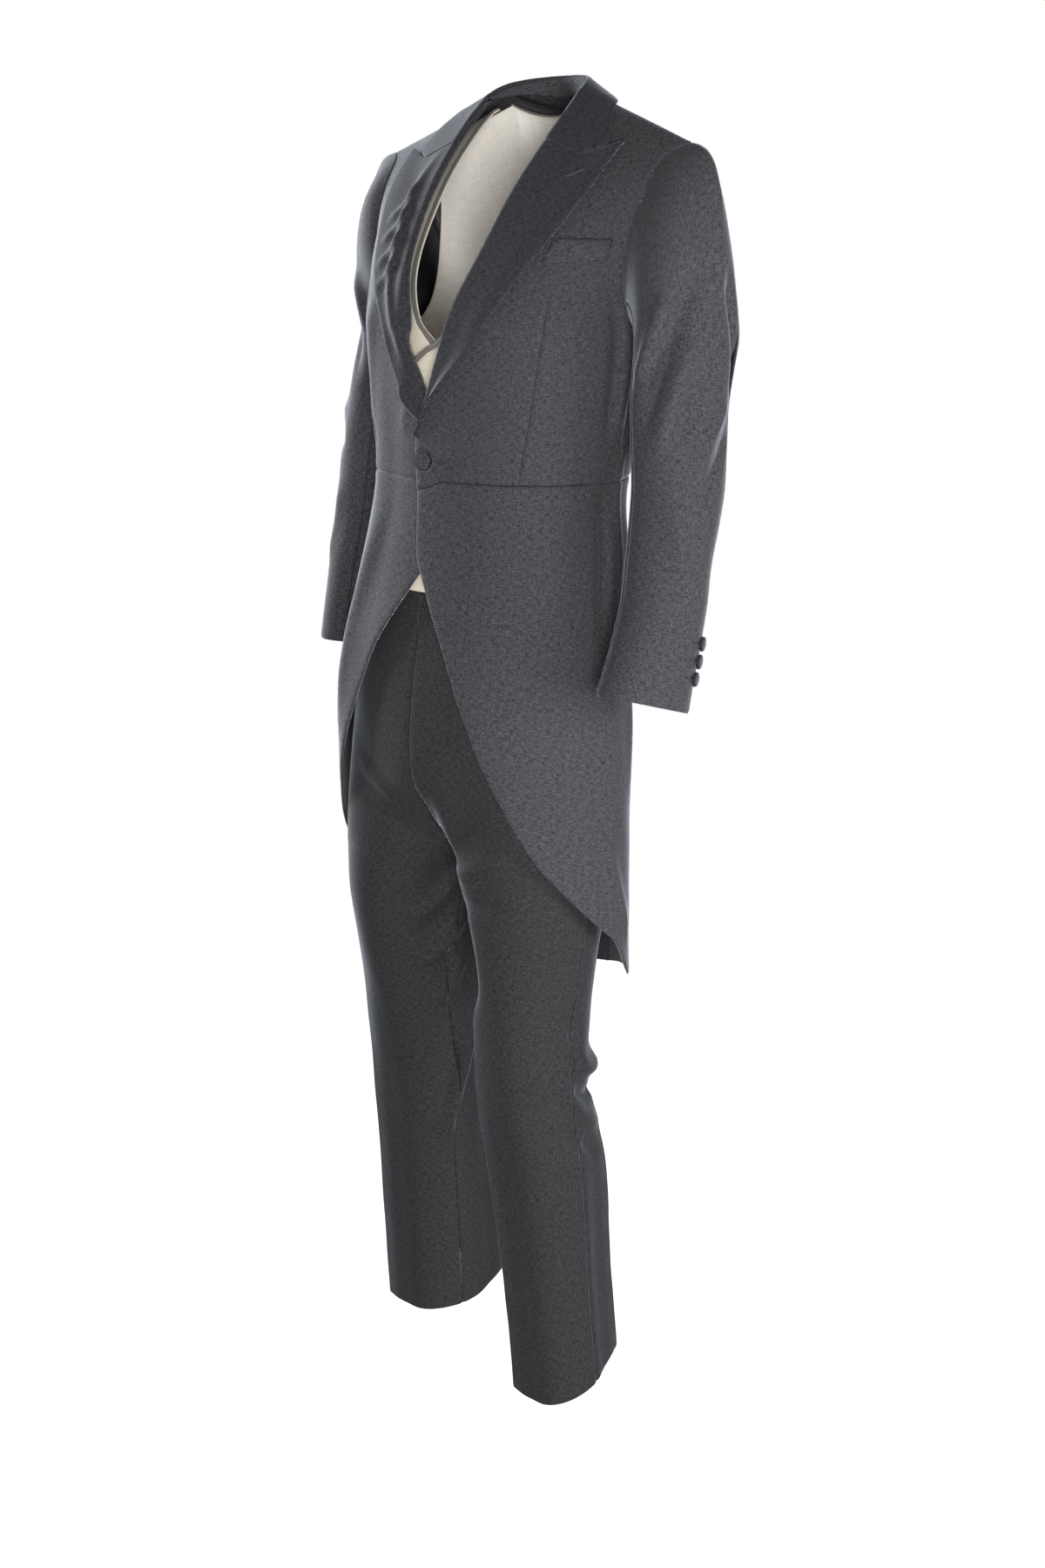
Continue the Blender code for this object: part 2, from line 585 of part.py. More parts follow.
FRONT_BUTTON = Edge(1.211, -0.4)
FRONT_BUTTON_SIZE = (0.0215, 0.0050)
CUFF_BUTTON_SIZE = (0.0155, 0.0042)
CUFF_BUTTON_HEIGHTS = (1.042, 1.0250, 1.008)
CUFF_BUTTON_TURN = -28
WELT = (Edge(1.4165, 36.4), Edge(1.427, 62.5), Edge(1.452, 60.9), Edge(1.4435, 38.8))


def welt(s, t):
    lower_left, lower_right, upper_right, upper_left = WELT
    angle = blend(blend(lower_left.angle, lower_right.angle, s), blend(upper_left.angle, upper_right.angle, s), t)
    level = blend(blend(lower_left.height, lower_right.height, s),
                  blend(upper_left.height, upper_right.height, s), t)
    return angle, level


def places(values, first, last):
    """Where the values are from first (0) to last (1)."""
    return [(value - first) / (last - first) for value in values]


# Pieces that meet at a seam share their rows or columns there.
FRONT_LEVELS = even(WAIST_SEAM, CHEST_LINE, 7) + even(CHEST_LINE, NECK_POINT.z, 9)[1:]
FRONT_ANGLES = [-5, 1, 7, 14, 24, 36, 49, 62, 75, 88, SIDE_SEAM[0].angle]
SIDE_ANGLES = even(SIDE_SEAM[0].angle, side_back_seam(WAIST_SEAM), 6)
SKIRT_LEVELS = even(TAIL_HEM, WAIST_SEAM, 13)
BODY_LEVELS = even(WAIST_SEAM, SIDE_BACK_SEAM[-1].height, 7)
BACK_ARM_LEVELS = even(SIDE_BACK_SEAM[-1].height, NECK_POINT.z, 6)
WAISTCOAT_LEVELS = [WAISTCOAT_HEM, 1.150, 1.225, WAISTCOAT_CROSSING, 1.305, 1.316, 1.327, 1.340,
                    1.355, 1.375, 1.405, 1.445, 1.490, 1.535, WAISTCOAT_TOP]


def build_coat(side, word):
    lower = 0 if side == LEFT else 1

    def front_lift(angle, level):
        return right_underlap(angle, level, UNDERLAP) * lower

    def lapel_lift(angle, level):
        return LAPEL_LIFT + front_lift(angle, level)
    add_cloth(f"coat_{word}_forepart", on_torso(forepart, front_lift),
              places(FRONT_ANGLES, FRONT_ANGLES[0], FRONT_ANGLES[-1]),
              places(FRONT_LEVELS, WAIST_SEAM, NECK_POINT.z), SUIT_WOOL, side)
    add_cloth(f"coat_{word}_side_body", on_torso(side_body), 6, 7, SUIT_WOOL, side)
    add_cloth(f"coat_{word}_back", on_torso(back), 6,
              places(SKIRT_LEVELS + BODY_LEVELS[1:] + BACK_ARM_LEVELS[1:], TAIL_HEM, NECK_POINT.z),
              SUIT_WOOL, side)
    add_cloth(f"coat_{word}_skirt", on_torso(skirt, front_lift),
              places(FRONT_ANGLES + SIDE_ANGLES[1:], FRONT_ANGLES[0], SIDE_ANGLES[-1]), 13, SUIT_WOOL, side)
    notch, corner = (lapel_share(angle) for angle in (NOTCH.angle, COLLAR_CORNER_ANGLE))
    add_cloth(f"coat_{word}_lapel", on_torso(lapel, lapel_lift),
              [0, notch / 2, notch, (notch + corner) / 2, corner, 1], 12, SUIT_WOOL, side)
    top = sleeve(side, HINDARM_TURN, FOREARM_TURN)
    under = sleeve(side, FOREARM_TURN, HINDARM_TURN + 360)
    rows = [0, 0.05, 0.11, 0.18, 0.27, 0.36, 0.45, 0.54, 0.63, 0.72, 0.81, 0.91, 1]
    add_cloth(f"coat_{word}_top_sleeve", top, 11, rows, SUIT_WOOL, side)
    add_cloth(f"coat_{word}_under_sleeve", under, 9, rows, SUIT_WOOL, side)
    for number, height in enumerate(CUFF_BUTTON_HEIGHTS):
        across = (CUFF_BUTTON_TURN - HINDARM_TURN) / (FOREARM_TURN - HINDARM_TURN)
        rings = SLEEVES[side]
        way = (rings[-1].height - height) / (rings[-1].height - rings[0].height)
        place, out = top(across, SLEEVE_CAP_SHARE + (1 - SLEEVE_CAP_SHARE) * way)
        place = place + out * SEAM_GAP * 2
        add_button(f"coat_{word}_cuff_button_{number + 1}", mirrored(place, side), mirrored(out, side),
                   *CUFF_BUTTON_SIZE, SUIT_WOOL)


def build_waistcoat(side, word):
    lower = 0 if side == LEFT else 1

    def front_lift(angle, level):
        return WAISTCOAT_LIFT + right_underlap(angle, level, WAISTCOAT_LIFT - WAISTCOAT_UNDERLAP) * lower

    def piping_lift(angle, level):
        return front_lift(angle, level) + PIPING_LIFT
    rows = places(WAISTCOAT_LEVELS, WAISTCOAT_HEM, WAISTCOAT_TOP)
    columns = [0] + [blend(PIPING_SHARE, 1, share) for share in (0, 0.09, 0.18, 0.28, 0.40, 0.54, 0.7, 0.85, 1)]
    add_cloth(f"waistcoat_{word}_front", on_torso(waistcoat_front, front_lift), columns, rows, IVORY, side,
              wall=LINING_CLOTH)
    piped = [level for level in WAISTCOAT_LEVELS if level >= WAISTCOAT_CROSSING]
    add_cloth(f"waistcoat_{word}_piping", on_torso(waistcoat_piping, piping_lift), 1,
              places(piped, WAISTCOAT_CROSSING, WAISTCOAT_TOP), GREY_SATIN, side, wall=PIPING)


def build_trousers(side, word):
    hem = max(TROUSER_HEMS[side])
    rows = places(even(hem, CROTCH, 11) + even(CROTCH, HIP_END, 8)[1:] + even(HIP_END, TROUSER_TOP, 3)[1:],
                  hem, TROUSER_TOP)
    add_cloth(f"trouser_{word}_front", trouser_leg(side, -90, 90), 8, rows, TROUSER_WOOL, side)
    add_cloth(f"trouser_{word}_back", trouser_leg(side, 90, 270), 8, rows, TROUSER_WOOL, side)
    add_cloth(f"trouser_{word}_waistband", with_normals(waistband), 14, 2, TROUSER_WOOL, side)


for hand, hand_word in ((LEFT, "left"), (RIGHT, "right")):
    build_coat(hand, hand_word)
    build_waistcoat(hand, hand_word)
    build_trousers(hand, hand_word)
add_cloth("coat_collar_fall", with_normals(collar_fall), 5, 28, SUIT_WOOL)
add_cloth("coat_collar_stand", with_normals(collar_stand), 16, 2, SUIT_WOOL)
add_cloth("coat_chest_welt", on_torso(welt, LAYER_GAP + CLOTH), 5, 2, SUIT_WOOL)
add_button("coat_front_button", torso(FRONT_BUTTON.angle, FRONT_BUTTON.height)
           + torso_normal(FRONT_BUTTON.angle, FRONT_BUTTON.height) * LAYER_GAP,
           torso_normal(FRONT_BUTTON.angle, FRONT_BUTTON.height), *FRONT_BUTTON_SIZE, SUIT_WOOL)
NECK_SHARE = waistcoat_back_neck()
add_cloth("waistcoat_back", on_torso(waistcoat_back, WAISTCOAT_LIFT),
          even(0, NECK_SHARE, 4) + even(NECK_SHARE, 1 - NECK_SHARE, 8)[1:] + even(1 - NECK_SHARE, 1, 4)[1:],
          [share * waistcoat_share(WAISTCOAT_TOP - PIPING_WIDTH) for share in even(0, 1, 10)] + [1],
          IVORY, wall=LINING_CLOTH)
add_cloth("waistcoat_back_piping", on_torso(back_neck_piping, WAISTCOAT_LIFT + PIPING_LIFT), 8, 1,
          GREY_SATIN, wall=PIPING)
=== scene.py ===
"""The morning suit as it looks: wool coat, ivory waistcoat and wool trousers, worn open at the V.

Metres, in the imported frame: the wearer faces -Y with the left side at +X, and heights in the tables
are above the floor that the wearer stands on. The outlines are those of the frame. On them lie the
cloth's creases, seams, darts, rolled edges and stitching, on finer grids of their own.
"""

import functools
import math
from collections import namedtuple

import bmesh
import bpy
import numpy as np
from mathutils import Matrix, Vector


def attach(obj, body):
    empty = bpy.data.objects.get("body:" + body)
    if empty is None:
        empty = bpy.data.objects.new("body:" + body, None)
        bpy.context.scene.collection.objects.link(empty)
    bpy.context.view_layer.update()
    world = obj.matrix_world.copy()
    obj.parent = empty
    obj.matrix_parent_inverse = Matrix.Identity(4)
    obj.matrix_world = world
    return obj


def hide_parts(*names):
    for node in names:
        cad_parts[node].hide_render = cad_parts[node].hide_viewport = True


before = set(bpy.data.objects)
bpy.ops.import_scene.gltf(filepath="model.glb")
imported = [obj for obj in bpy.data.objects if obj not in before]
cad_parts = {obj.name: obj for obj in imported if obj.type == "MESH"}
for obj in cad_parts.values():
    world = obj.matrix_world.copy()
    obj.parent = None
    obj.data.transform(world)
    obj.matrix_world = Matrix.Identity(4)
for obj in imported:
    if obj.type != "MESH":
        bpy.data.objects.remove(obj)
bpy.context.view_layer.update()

ORIGIN_HEIGHT = 1.500      # of the origin above the wearer's floor
CLOTH = 0.0020             # wall of the coat and trousers
LINING_CLOTH = 0.0015      # wall of the waistcoat
PIPING = 0.0012            # wall of the satin piping
PIPING_WIDTH = 0.006
PIPING_SHARE = 0.06        # of a waistcoat front's columns that the piping covers
SEAM_GAP = 0.0006          # between two pieces at a seam
LAYER_GAP = 0.0013         # between two pieces that lie on each other
LEFT, RIGHT = 1, -1

# The torso is rings up to the chest line, and above it curves that lean in to the shoulder line.
CHEST_LINE = 1.345
NECK_POINT = Vector((0.070, 0.035, 1.582))
SHOULDER_POINT = Vector((0.222, 0.020, 1.525))
SHOULDER_TURN = 75.0       # degrees round from centre front where the shoulder line ends
RING_SQUARENESS = 2.2
SPREAD_POWER = 1.5         # how late the torso widens above the chest line
LEAN_POWER, LEAN_ROUNDNESS = 1.5, 0.8      # how late and how roundly it leans in there
SHOULDER_RISE = 0.75       # of the way up to the neck point, where the cloth turns over the shoulder
WAIST_SEAM = 1.191
WAIST_SEAM_DIP = 0.011     # at the front edge
WAIST_DIP_TURN = 8         # where the dip starts
TAIL_HEM = 0.641
TAIL_RISE = 0.005          # of the hem at the sides
TAIL_DROP = 0.022          # from there to the hem behind
TAIL_DROP_TURNS = (126, 170)
# The neck line round the back, between the waistcoat's neck points.
NECK_HALF = 0.056
BACK_NECK_DEPTH = 0.040
BACK_NECK_DIP = 0.032      # below the shoulder lines carried on to the middle

Ring = namedtuple("Ring", "height centre width front back")
TORSO = (
    Ring(0.560, -0.055, 0.180, 0.138, 0.113),
    Ring(0.750, -0.055, 0.180, 0.139, 0.109),
    Ring(0.900, -0.055, 0.179, 0.145, 0.107),
    Ring(1.000, -0.055, 0.173, 0.135, 0.109),
    Ring(1.100, -0.045, 0.160, 0.117, 0.110),
    Ring(1.180, -0.035, 0.150, 0.112, 0.108),
    Ring(1.260, -0.022, 0.160, 0.122, 0.122),
    Ring(CHEST_LINE, -0.008, 0.178, 0.137, 0.125),
)

# Seams and edges on the torso: degrees round from centre front at a level.
Edge = namedtuple("Edge", "height angle")
SIDE_SEAM = (Edge(WAIST_SEAM, 100), Edge(1.345, 86))
SIDE_BACK_SEAM = (Edge(TAIL_HEM, 150), Edge(1.000, 155), Edge(WAIST_SEAM, 158), Edge(1.280, 148),
                  Edge(1.360, 133), Edge(1.430, 119))
SKIRT_EDGE = (Edge(TAIL_HEM, 120), Edge(0.649, 113), Edge(0.663, 106), Edge(0.690, 97),
              Edge(0.719, 85), Edge(0.764, 67), Edge(0.807, 53), Edge(0.888, 37), Edge(0.952, 27),
              Edge(1.022, 16), Edge(1.075, 5), Edge(1.110, -1), Edge(WAIST_SEAM, -5))
LAPEL_EDGE = (Edge(1.236, -5.5), Edge(1.265, -0.7), Edge(1.296, 8.2), Edge(1.330, 18.9),
              Edge(1.384, 29.8), Edge(1.442, 37.8), Edge(1.500, 42.0), Edge(1.552, 41.0))
NOTCH = Edge(1.528, 28.9)
COLLAR_CORNER_ANGLE = 36.0
NOTCH_OPENING = 0.0035     # between the collar's corner and the lapel
NOTCH_SHARPNESS = 4        # how soon the lapel's rows level out below the notch
GORGE = 1.531              # where the lapel's roll line meets the collar

# The armhole, turned round from the shoulder point through the front and the underarm.
Armhole = namedtuple("Armhole", "height angle level")
ARMHOLE = (
    Armhole(0, 66, 1.582), Armhole(15, 60, 1.560), Armhole(35, 61, 1.535),
    Armhole(60, 64.5, 1.505), Armhole(80, 68, 1.465), Armhole(100, 73, 1.420),
    Armhole(120, 78, 1.380), Armhole(150, 86, 1.345), Armhole(180, 96, 1.334),
    Armhole(210, 108, 1.348), Armhole(240, 116, 1.390), Armhole(265, 119, 1.430),
    Armhole(300, 118, 1.490), Armhole(335, 115, 1.550), Armhole(360, 114, 1.582),
)
SIDE_TURN, BACK_TURN = 150, 265      # of the armhole at the side seam and the side back seam
BELOW_ARMHOLE = CHEST_LINE - 0.025
TOP_STEPS = 60             # places across the side body where its top is worked out

# Front edges: distance from the centre plane at a level.
Reach = namedtuple("Reach", "height x")
ROLL_LINE = (Reach(1.180, -0.016), Reach(1.235, -0.020), Reach(1.283, 0.000), Reach(1.355, 0.028),
             Reach(1.415, 0.048), Reach(1.475, 0.057), Reach(GORGE, 0.063), Reach(1.582, 0.070))
WAISTCOAT_HEM, WAISTCOAT_TOP = 1.078, 1.580
WAISTCOAT_EDGE = (Reach(WAISTCOAT_HEM, -0.055), Reach(1.270, -0.058), Reach(1.296, -0.050),
                  Reach(1.319, -0.024), Reach(1.334, 0.005), Reach(1.352, 0.025), Reach(1.380, 0.039),
                  Reach(1.415, 0.050), Reach(1.475, 0.057), Reach(GORGE, 0.063), Reach(1.582, 0.066))
WAISTCOAT_CROSSING = 1.292 # where the piping ends below the V
MOST_SLANT = 2.5           # of the piping's width on a level, where the edge slants
WAISTCOAT_ARMHOLE = (Edge(1.330, 90), Edge(1.370, 76), Edge(1.450, 62), Edge(1.520, 50), Edge(1.582, 42))

# Lifts off the coat's outer surface, from the outside in.
LAPEL_LIFT = LAYER_GAP + CLOTH
LAPEL_STAND = 0.0050       # how much further the lapel's outer edge stands off the chest
COLLAR_STANDS = 0.0022     # how much further the collar's does off the shoulders
ROLL_RADIUS = 0.0023       # of the fold along the lapels and the collar
LAPEL_ROLL, COLLAR_ROLL = 0.06, 0.10       # of the piece's columns, which the fold takes up
WELT_LIFT, WELT_MOUTH = 0.0010, 0.0044         # of the breast welt, at its foot and at its mouth
UNDERLAP = 2 * CLOTH + 2 * LAYER_GAP           # of the right front below the left one
UNDERLAP_TURNS, UNDERLAP_LEVELS = (42, 22), (1.400, 1.340)      # from where it starts to where it is whole
PIPING_LIFT = SEAM_GAP + PIPING                # off the waistcoat
WAISTCOAT_LIFT = -(UNDERLAP + CLOTH + PIPING_LIFT + LAYER_GAP)
WAISTCOAT_UNDERLAP = WAISTCOAT_LIFT - LINING_CLOTH - PIPING_LIFT - LAYER_GAP

# Sleeves: rings down the arm. slope is how much higher the ring's front is, for each metre forward.
Sleeve = namedtuple("Sleeve", "height x y half_x half_y slope")
SLEEVES = {
    LEFT: (
        Sleeve(0.975, 0.236, -0.073, 0.040, 0.056, 0.30), Sleeve(1.067, 0.232, -0.038, 0.041, 0.048, 0.25),
        Sleeve(1.118, 0.228, -0.025, 0.042, 0.047, 0.20), Sleeve(1.186, 0.225, -0.009, 0.045, 0.052, 0.10),
        Sleeve(1.270, 0.222, -0.004, 0.043, 0.059, 0.00), Sleeve(1.330, 0.223, 0.003, 0.042, 0.066, 0.00)),
    RIGHT: (
        Sleeve(0.975, 0.237, -0.024, 0.040, 0.056, 0.10), Sleeve(1.067, 0.231, -0.018, 0.041, 0.048, 0.10),
        Sleeve(1.118, 0.227, -0.010, 0.042, 0.047, 0.05), Sleeve(1.186, 0.222, 0.000, 0.045, 0.052, 0.00),
        Sleeve(1.270, 0.217, 0.016, 0.043, 0.057, 0.00), Sleeve(1.330, 0.223, 0.038, 0.042, 0.060, 0.00)),
}
FOREARM_TURN = 120         # of the seam down the front of the sleeve
HINDARM_TURN = -45         # of the seam down its back
TOP_TURNS = (HINDARM_TURN, FOREARM_TURN)
UNDER_TURNS = (FOREARM_TURN, HINDARM_TURN + 360)
SLEEVE_HEAD = {LEFT: 0.050, RIGHT: 0.060}      # how far the sleeve stands out from the shoulder point
SLEEVE_FAN = 0.5           # how far its head fans out to the front and the back
SLEEVE_TUCK = 0.0028       # how far the sleeve's top edge goes in under the armhole's edge
SLEEVE_DROP = 0.6          # of the cap's height, over which it comes straight down
SLEEVE_CAP_SHARE = 0.36    # of the sleeve panel's rows above the underarm

# Trousers: rings at the hip, and rings down each leg.
HIPS = (Ring(0.780, -0.054, 0.170, 0.127, 0.100), Ring(0.900, -0.054, 0.166, 0.126, 0.099),
        Ring(1.000, -0.052, 0.155, 0.117, 0.098), Ring(1.100, -0.045, 0.138, 0.098, 0.092),
        Ring(1.130, -0.040, 0.134, 0.094, 0.089))
Leg = namedtuple("Leg", "height x y half_x half_y")
LEGS = {
    LEFT: (Leg(0.120, 0.122, -0.052, 0.050, 0.058), Leg(0.300, 0.117, -0.068, 0.050, 0.059),
           Leg(0.430, 0.112, -0.079, 0.054, 0.064), Leg(0.530, 0.105, -0.094, 0.056, 0.064),
           Leg(0.650, 0.094, -0.083, 0.064, 0.073), Leg(0.775, 0.083, -0.070, 0.083, 0.092)),
    RIGHT: (Leg(0.120, 0.138, 0.010, 0.058, 0.070), Leg(0.250, 0.134, 0.000, 0.058, 0.072),
            Leg(0.370, 0.128, -0.013, 0.058, 0.071), Leg(0.480, 0.122, -0.020, 0.066, 0.077),
            Leg(0.600, 0.108, -0.049, 0.066, 0.079), Leg(0.710, 0.098, -0.064, 0.074, 0.093),
            Leg(0.775, 0.086, -0.069, 0.086, 0.095)),
}
Hem = namedtuple("Hem", "front back")
TROUSER_HEMS = {LEFT: Hem(0.143, 0.187), RIGHT: Hem(0.149, 0.168)}
HIP_END, CROTCH = 0.960, 0.775
FORK_ROUNDNESS = 3.0       # of the curve from the fly down to the fork
INSEAM_FORWARD = {LEFT: 0, RIGHT: 22}      # degrees the inseam has come forward below the fork
INSEAM_LEVELS = (0.755, 0.595)             # from where it starts to where it is whole
TROUSER_TOP, WAISTBAND_TOP = 1.085, 1.125


@functools.cache
def smooth_table(rows, height):
    """The rows' columns at a height, by a cubic through them with level ends."""
    if height <= rows[0].height:
        return rows[0]
    if height >= rows[-1].height:
        return rows[-1]
    upper = next(i for i, row in enumerate(rows) if row.height > height)
    low, high = rows[upper - 1], rows[upper]
    before, after = rows[max(upper - 2, 0)], rows[min(upper + 1, len(rows) - 1)]
    span = high.height - low.height
    t = (height - low.height) / span
    t2, t3 = t * t, t * t * t
    columns = []
    for a, b, c, d in zip(before, low, high, after):
        slope_b = (c - a) / (high.height - before.height) * span
        slope_c = (d - b) / (after.height - low.height) * span
        columns.append((2 * t3 - 3 * t2 + 1) * b + (t3 - 2 * t2 + t) * slope_b
                       + (3 * t2 - 2 * t3) * c + (t3 - t2) * slope_c)
    return type(low)(*columns)


def blend(a, b, t):
    return a + (b - a) * t


def even(first, last, steps):
    return [blend(first, last, step / steps) for step in range(steps + 1)]


def mirrored(vector, side):
    return Vector((vector.x * side, vector.y, vector.z))


def ramp(value, start, end):
    """From 0 at start to 1 at end, level at both."""
    t = min(max((value - start) / (end - start), 0.0), 1.0)
    return t * t * (3 - 2 * t)


def ramps(values, end):
    """The same for an array, from 0 at 0 to 1 at end."""
    t = np.clip(values / end, 0, 1)
    return t * t * (3 - 2 * t)


def given(rule, *place):
    """What is given as it is, or as a rule for a place."""
    return rule(*place) if callable(rule) else rule


def power(value, exponent):
    return math.copysign(abs(value) ** exponent, value)


def shoulder_spread(level):
    """How much wider than the chest ring the torso is at a level above the chest line."""
    rise = min(max((level - CHEST_LINE) / (NECK_POINT.z - CHEST_LINE), 0.0), 1.0)
    chest = TORSO[-1].width * math.sin(math.radians(SHOULDER_TURN)) ** (2 / RING_SQUARENESS)
    return 1 + (SHOULDER_POINT.x / chest - 1) * rise ** SPREAD_POWER


def on_ring(ring, turn):
    """The point on a ring at a turn in radians from its front, and how far forward it is, -1 to 1."""
    forward = power(math.cos(turn), 2 / RING_SQUARENESS)
    x = ring.width * power(math.sin(turn), 2 / RING_SQUARENESS)
    return x, ring.centre - (ring.front if forward > 0 else ring.back) * forward, forward


def torso(angle, level):
    """The coat's outer surface: angle in degrees from centre front to the wearer's left."""
    x, y, forward = on_ring(smooth_table(TORSO, min(level, CHEST_LINE)), math.radians(angle))
    if level <= CHEST_LINE:
        return Vector((x, y, level - ORIGIN_HEIGHT))
    rise = min((level - CHEST_LINE) / (NECK_POINT.z - CHEST_LINE), 1.0)
    x *= shoulder_spread(level)
    top = NECK_POINT.lerp(SHOULDER_POINT, (abs(x) - NECK_POINT.x) / (SHOULDER_POINT.x - NECK_POINT.x))
    if forward < 0:
        middle = max(1 - (x / NECK_HALF) ** 2, 0)
        top += Vector((0, BACK_NECK_DEPTH, -BACK_NECK_DIP)) * middle
    y = top.y + (y - top.y) * (1 - rise ** LEAN_POWER) ** LEAN_ROUNDNESS
    return Vector((x, y, blend(CHEST_LINE, top.z, rise) - ORIGIN_HEIGHT))


def angle_at(x, level):
    """The angle on the front of the torso where the surface is x from the centre plane."""
    width = smooth_table(TORSO, min(level, CHEST_LINE)).width * shoulder_spread(level)
    return math.degrees(math.asin(power(max(min(x / width, 1), -1), RING_SQUARENESS / 2)))


def waist_level(angle):
    """The waist seam's level, which dips at the front edge."""
    return WAIST_SEAM - WAIST_SEAM_DIP * ramp(angle, WAIST_DIP_TURN, SKIRT_EDGE[-1].angle)


def bisect(rule, low, high, wanted):
    """Where a rule that rises or falls steadily from low to high gives the wanted value."""
    rising = rule(high) > rule(low)
    for _ in range(30):
        middle = (low + high) / 2
        if (rule(middle) < wanted) == rising:
            low = middle
        else:
            high = middle
    return (low + high) / 2


@functools.cache
def armhole_angle(level, low_turn, high_turn):
    """The angle where a level meets the armhole, between two turns round it."""
    turn = bisect(lambda value: smooth_table(ARMHOLE, value).level, low_turn, high_turn, level)
    return smooth_table(ARMHOLE, turn).angle


def under_armhole_level(angle):
    """The armhole's level above an angle at the underarm."""
    turn = bisect(lambda value: smooth_table(ARMHOLE, value).angle, SIDE_TURN, BACK_TURN, angle)
    return smooth_table(ARMHOLE, turn).level


def side_seam(level):
    rise = (level - SIDE_SEAM[0].height) / (SIDE_SEAM[1].height - SIDE_SEAM[0].height)
    return blend(SIDE_SEAM[0].angle, SIDE_SEAM[1].angle, min(rise, 1))


def side_back_seam(level):
    return smooth_table(SIDE_BACK_SEAM, level).angle


def roll_angle(level):
    return angle_at(smooth_table(ROLL_LINE, level).x, level)


# Each surface below gives the outer side of one piece, for s across it and t up it, both 0 to 1.

def forepart(s, t):
    """From the roll line to the side seam and the armhole, up to the shoulder line."""
    def across(level):
        side = side_seam(level) if level < SIDE_SEAM[1].height else armhole_angle(level, 0, SIDE_TURN)
        return blend(roll_angle(level), side, s)
    level = blend(waist_level(across(WAIST_SEAM)), NECK_POINT.z, t)
    return across(level), level


def side_body_top(s):
    """The level where the side body's line s meets the armhole, between the steps worked out."""
    number = min(max(int(s * TOP_STEPS), 0), TOP_STEPS - 1)
    return blend(side_body_top_at(number), side_body_top_at(number + 1), s * TOP_STEPS - number)


@functools.cache
def side_body_top_at(number):
    """The same at one of the steps."""
    s = number / TOP_STEPS

    def above_armhole(level):
        return level - under_armhole_level(blend(side_seam(level), side_back_seam(level), s))
    return bisect(above_armhole, BELOW_ARMHOLE, SIDE_BACK_SEAM[-1].height, 0)


def side_body(s, t):
    level = blend(WAIST_SEAM, side_body_top(s), t)
    return blend(side_seam(level), side_back_seam(level), s), level


def tail_hem(angle):
    """The hem's level, which rises a little at the sides and drops behind."""
    return TAIL_HEM + TAIL_RISE - TAIL_DROP * ramp(angle, *TAIL_DROP_TURNS)


def back(s, t):
    level = blend(tail_hem(blend(SIDE_BACK_SEAM[0].angle, 180, s)), NECK_POINT.z, t)
    if level < SIDE_BACK_SEAM[-1].height:
        side = side_back_seam(level)
    else:
        side = armhole_angle(level, BACK_TURN, 360)
    return blend(side, 180, s), level


def skirt(s, t):
    def across(level):
        return blend(smooth_table(SKIRT_EDGE, level).angle, side_back_seam(level), s)
    hem = tail_hem(blend(SKIRT_EDGE[0].angle, SIDE_BACK_SEAM[0].angle, s))
    level = blend(hem, waist_level(across(WAIST_SEAM)), t)
    return across(level), level


def lapel_share(angle):
    """How far across the lapel's top an angle is, from the roll line (0) to the peak (1)."""
    return (angle - roll_angle(GORGE)) / (LAPEL_EDGE[-1].angle - roll_angle(GORGE))


def lapel(s, t):
    notch = lapel_share(NOTCH.angle)
    dip = s / notch if s < notch else (1 - s) / (1 - notch)
    flat_top = blend(GORGE, LAPEL_EDGE[-1].height, notch)
    inner = blend(ROLL_LINE[1].height, GORGE, t)
    outer = blend(LAPEL_EDGE[0].height, LAPEL_EDGE[-1].height, t)
    level = blend(inner, outer, s) - (flat_top - NOTCH.height) * dip * t ** NOTCH_SHARPNESS
    return blend(roll_angle(inner), smooth_table(LAPEL_EDGE, outer).angle, s), level


# The right front hangs a little further back than the left one: degrees at the roll line and at the
# lapel's outer edge.
PulledBack = namedtuple("PulledBack", "height roll outer")
PULLED_BACK = (PulledBack(1.200, 0, 0), PulledBack(1.236, 0, 4), PulledBack(1.265, 2.5, 12),
               PulledBack(1.296, 3.4, 8), PulledBack(1.328, 5.8, 3), PulledBack(1.350, 1.8, 0),
               PulledBack(1.385, 0, -1), PulledBack(1.430, 0, 0), PulledBack(1.500, 0, 0),
               PulledBack(1.600, 0, 0))


def right_lapel(s, t):
    angle, level = lapel(s, t)
    pulled = smooth_table(PULLED_BACK, level)
    return angle + blend(pulled.roll, pulled.outer, s), level


def right_forepart(s, t):
    angle, level = forepart(s, t)
    return angle + smooth_table(PULLED_BACK, level).roll * (1 - s) ** 3, level


def waistcoat_front(s, t):
    """Its first columns, up to PIPING_SHARE, are as wide as the piping along the V."""
    level = blend(WAISTCOAT_HEM, WAISTCOAT_TOP, t)
    step = 0.002
    slant = smooth_table(WAISTCOAT_EDGE, level + step).x - smooth_table(WAISTCOAT_EDGE, level - step).x
    width = PIPING_WIDTH * min(math.hypot(1, slant / (2 * step)), MOST_SLANT)
    edge = smooth_table(WAISTCOAT_EDGE, level).x
    if s < PIPING_SHARE:
        return angle_at(edge + width * s / PIPING_SHARE, level), level
    side = smooth_table(WAISTCOAT_ARMHOLE, level).angle
    return blend(angle_at(edge + width, level), side, (s - PIPING_SHARE) / (1 - PIPING_SHARE)), level


def waistcoat_share(level):
    """How far up the waistcoat a level is."""
    return (level - WAISTCOAT_HEM) / (WAISTCOAT_TOP - WAISTCOAT_HEM)


def waistcoat_piping(s, t):
    """Over the first columns of the front, from the crossing up the V."""
    return waistcoat_front(PIPING_SHARE * s, blend(waistcoat_share(WAISTCOAT_CROSSING), 1, t))


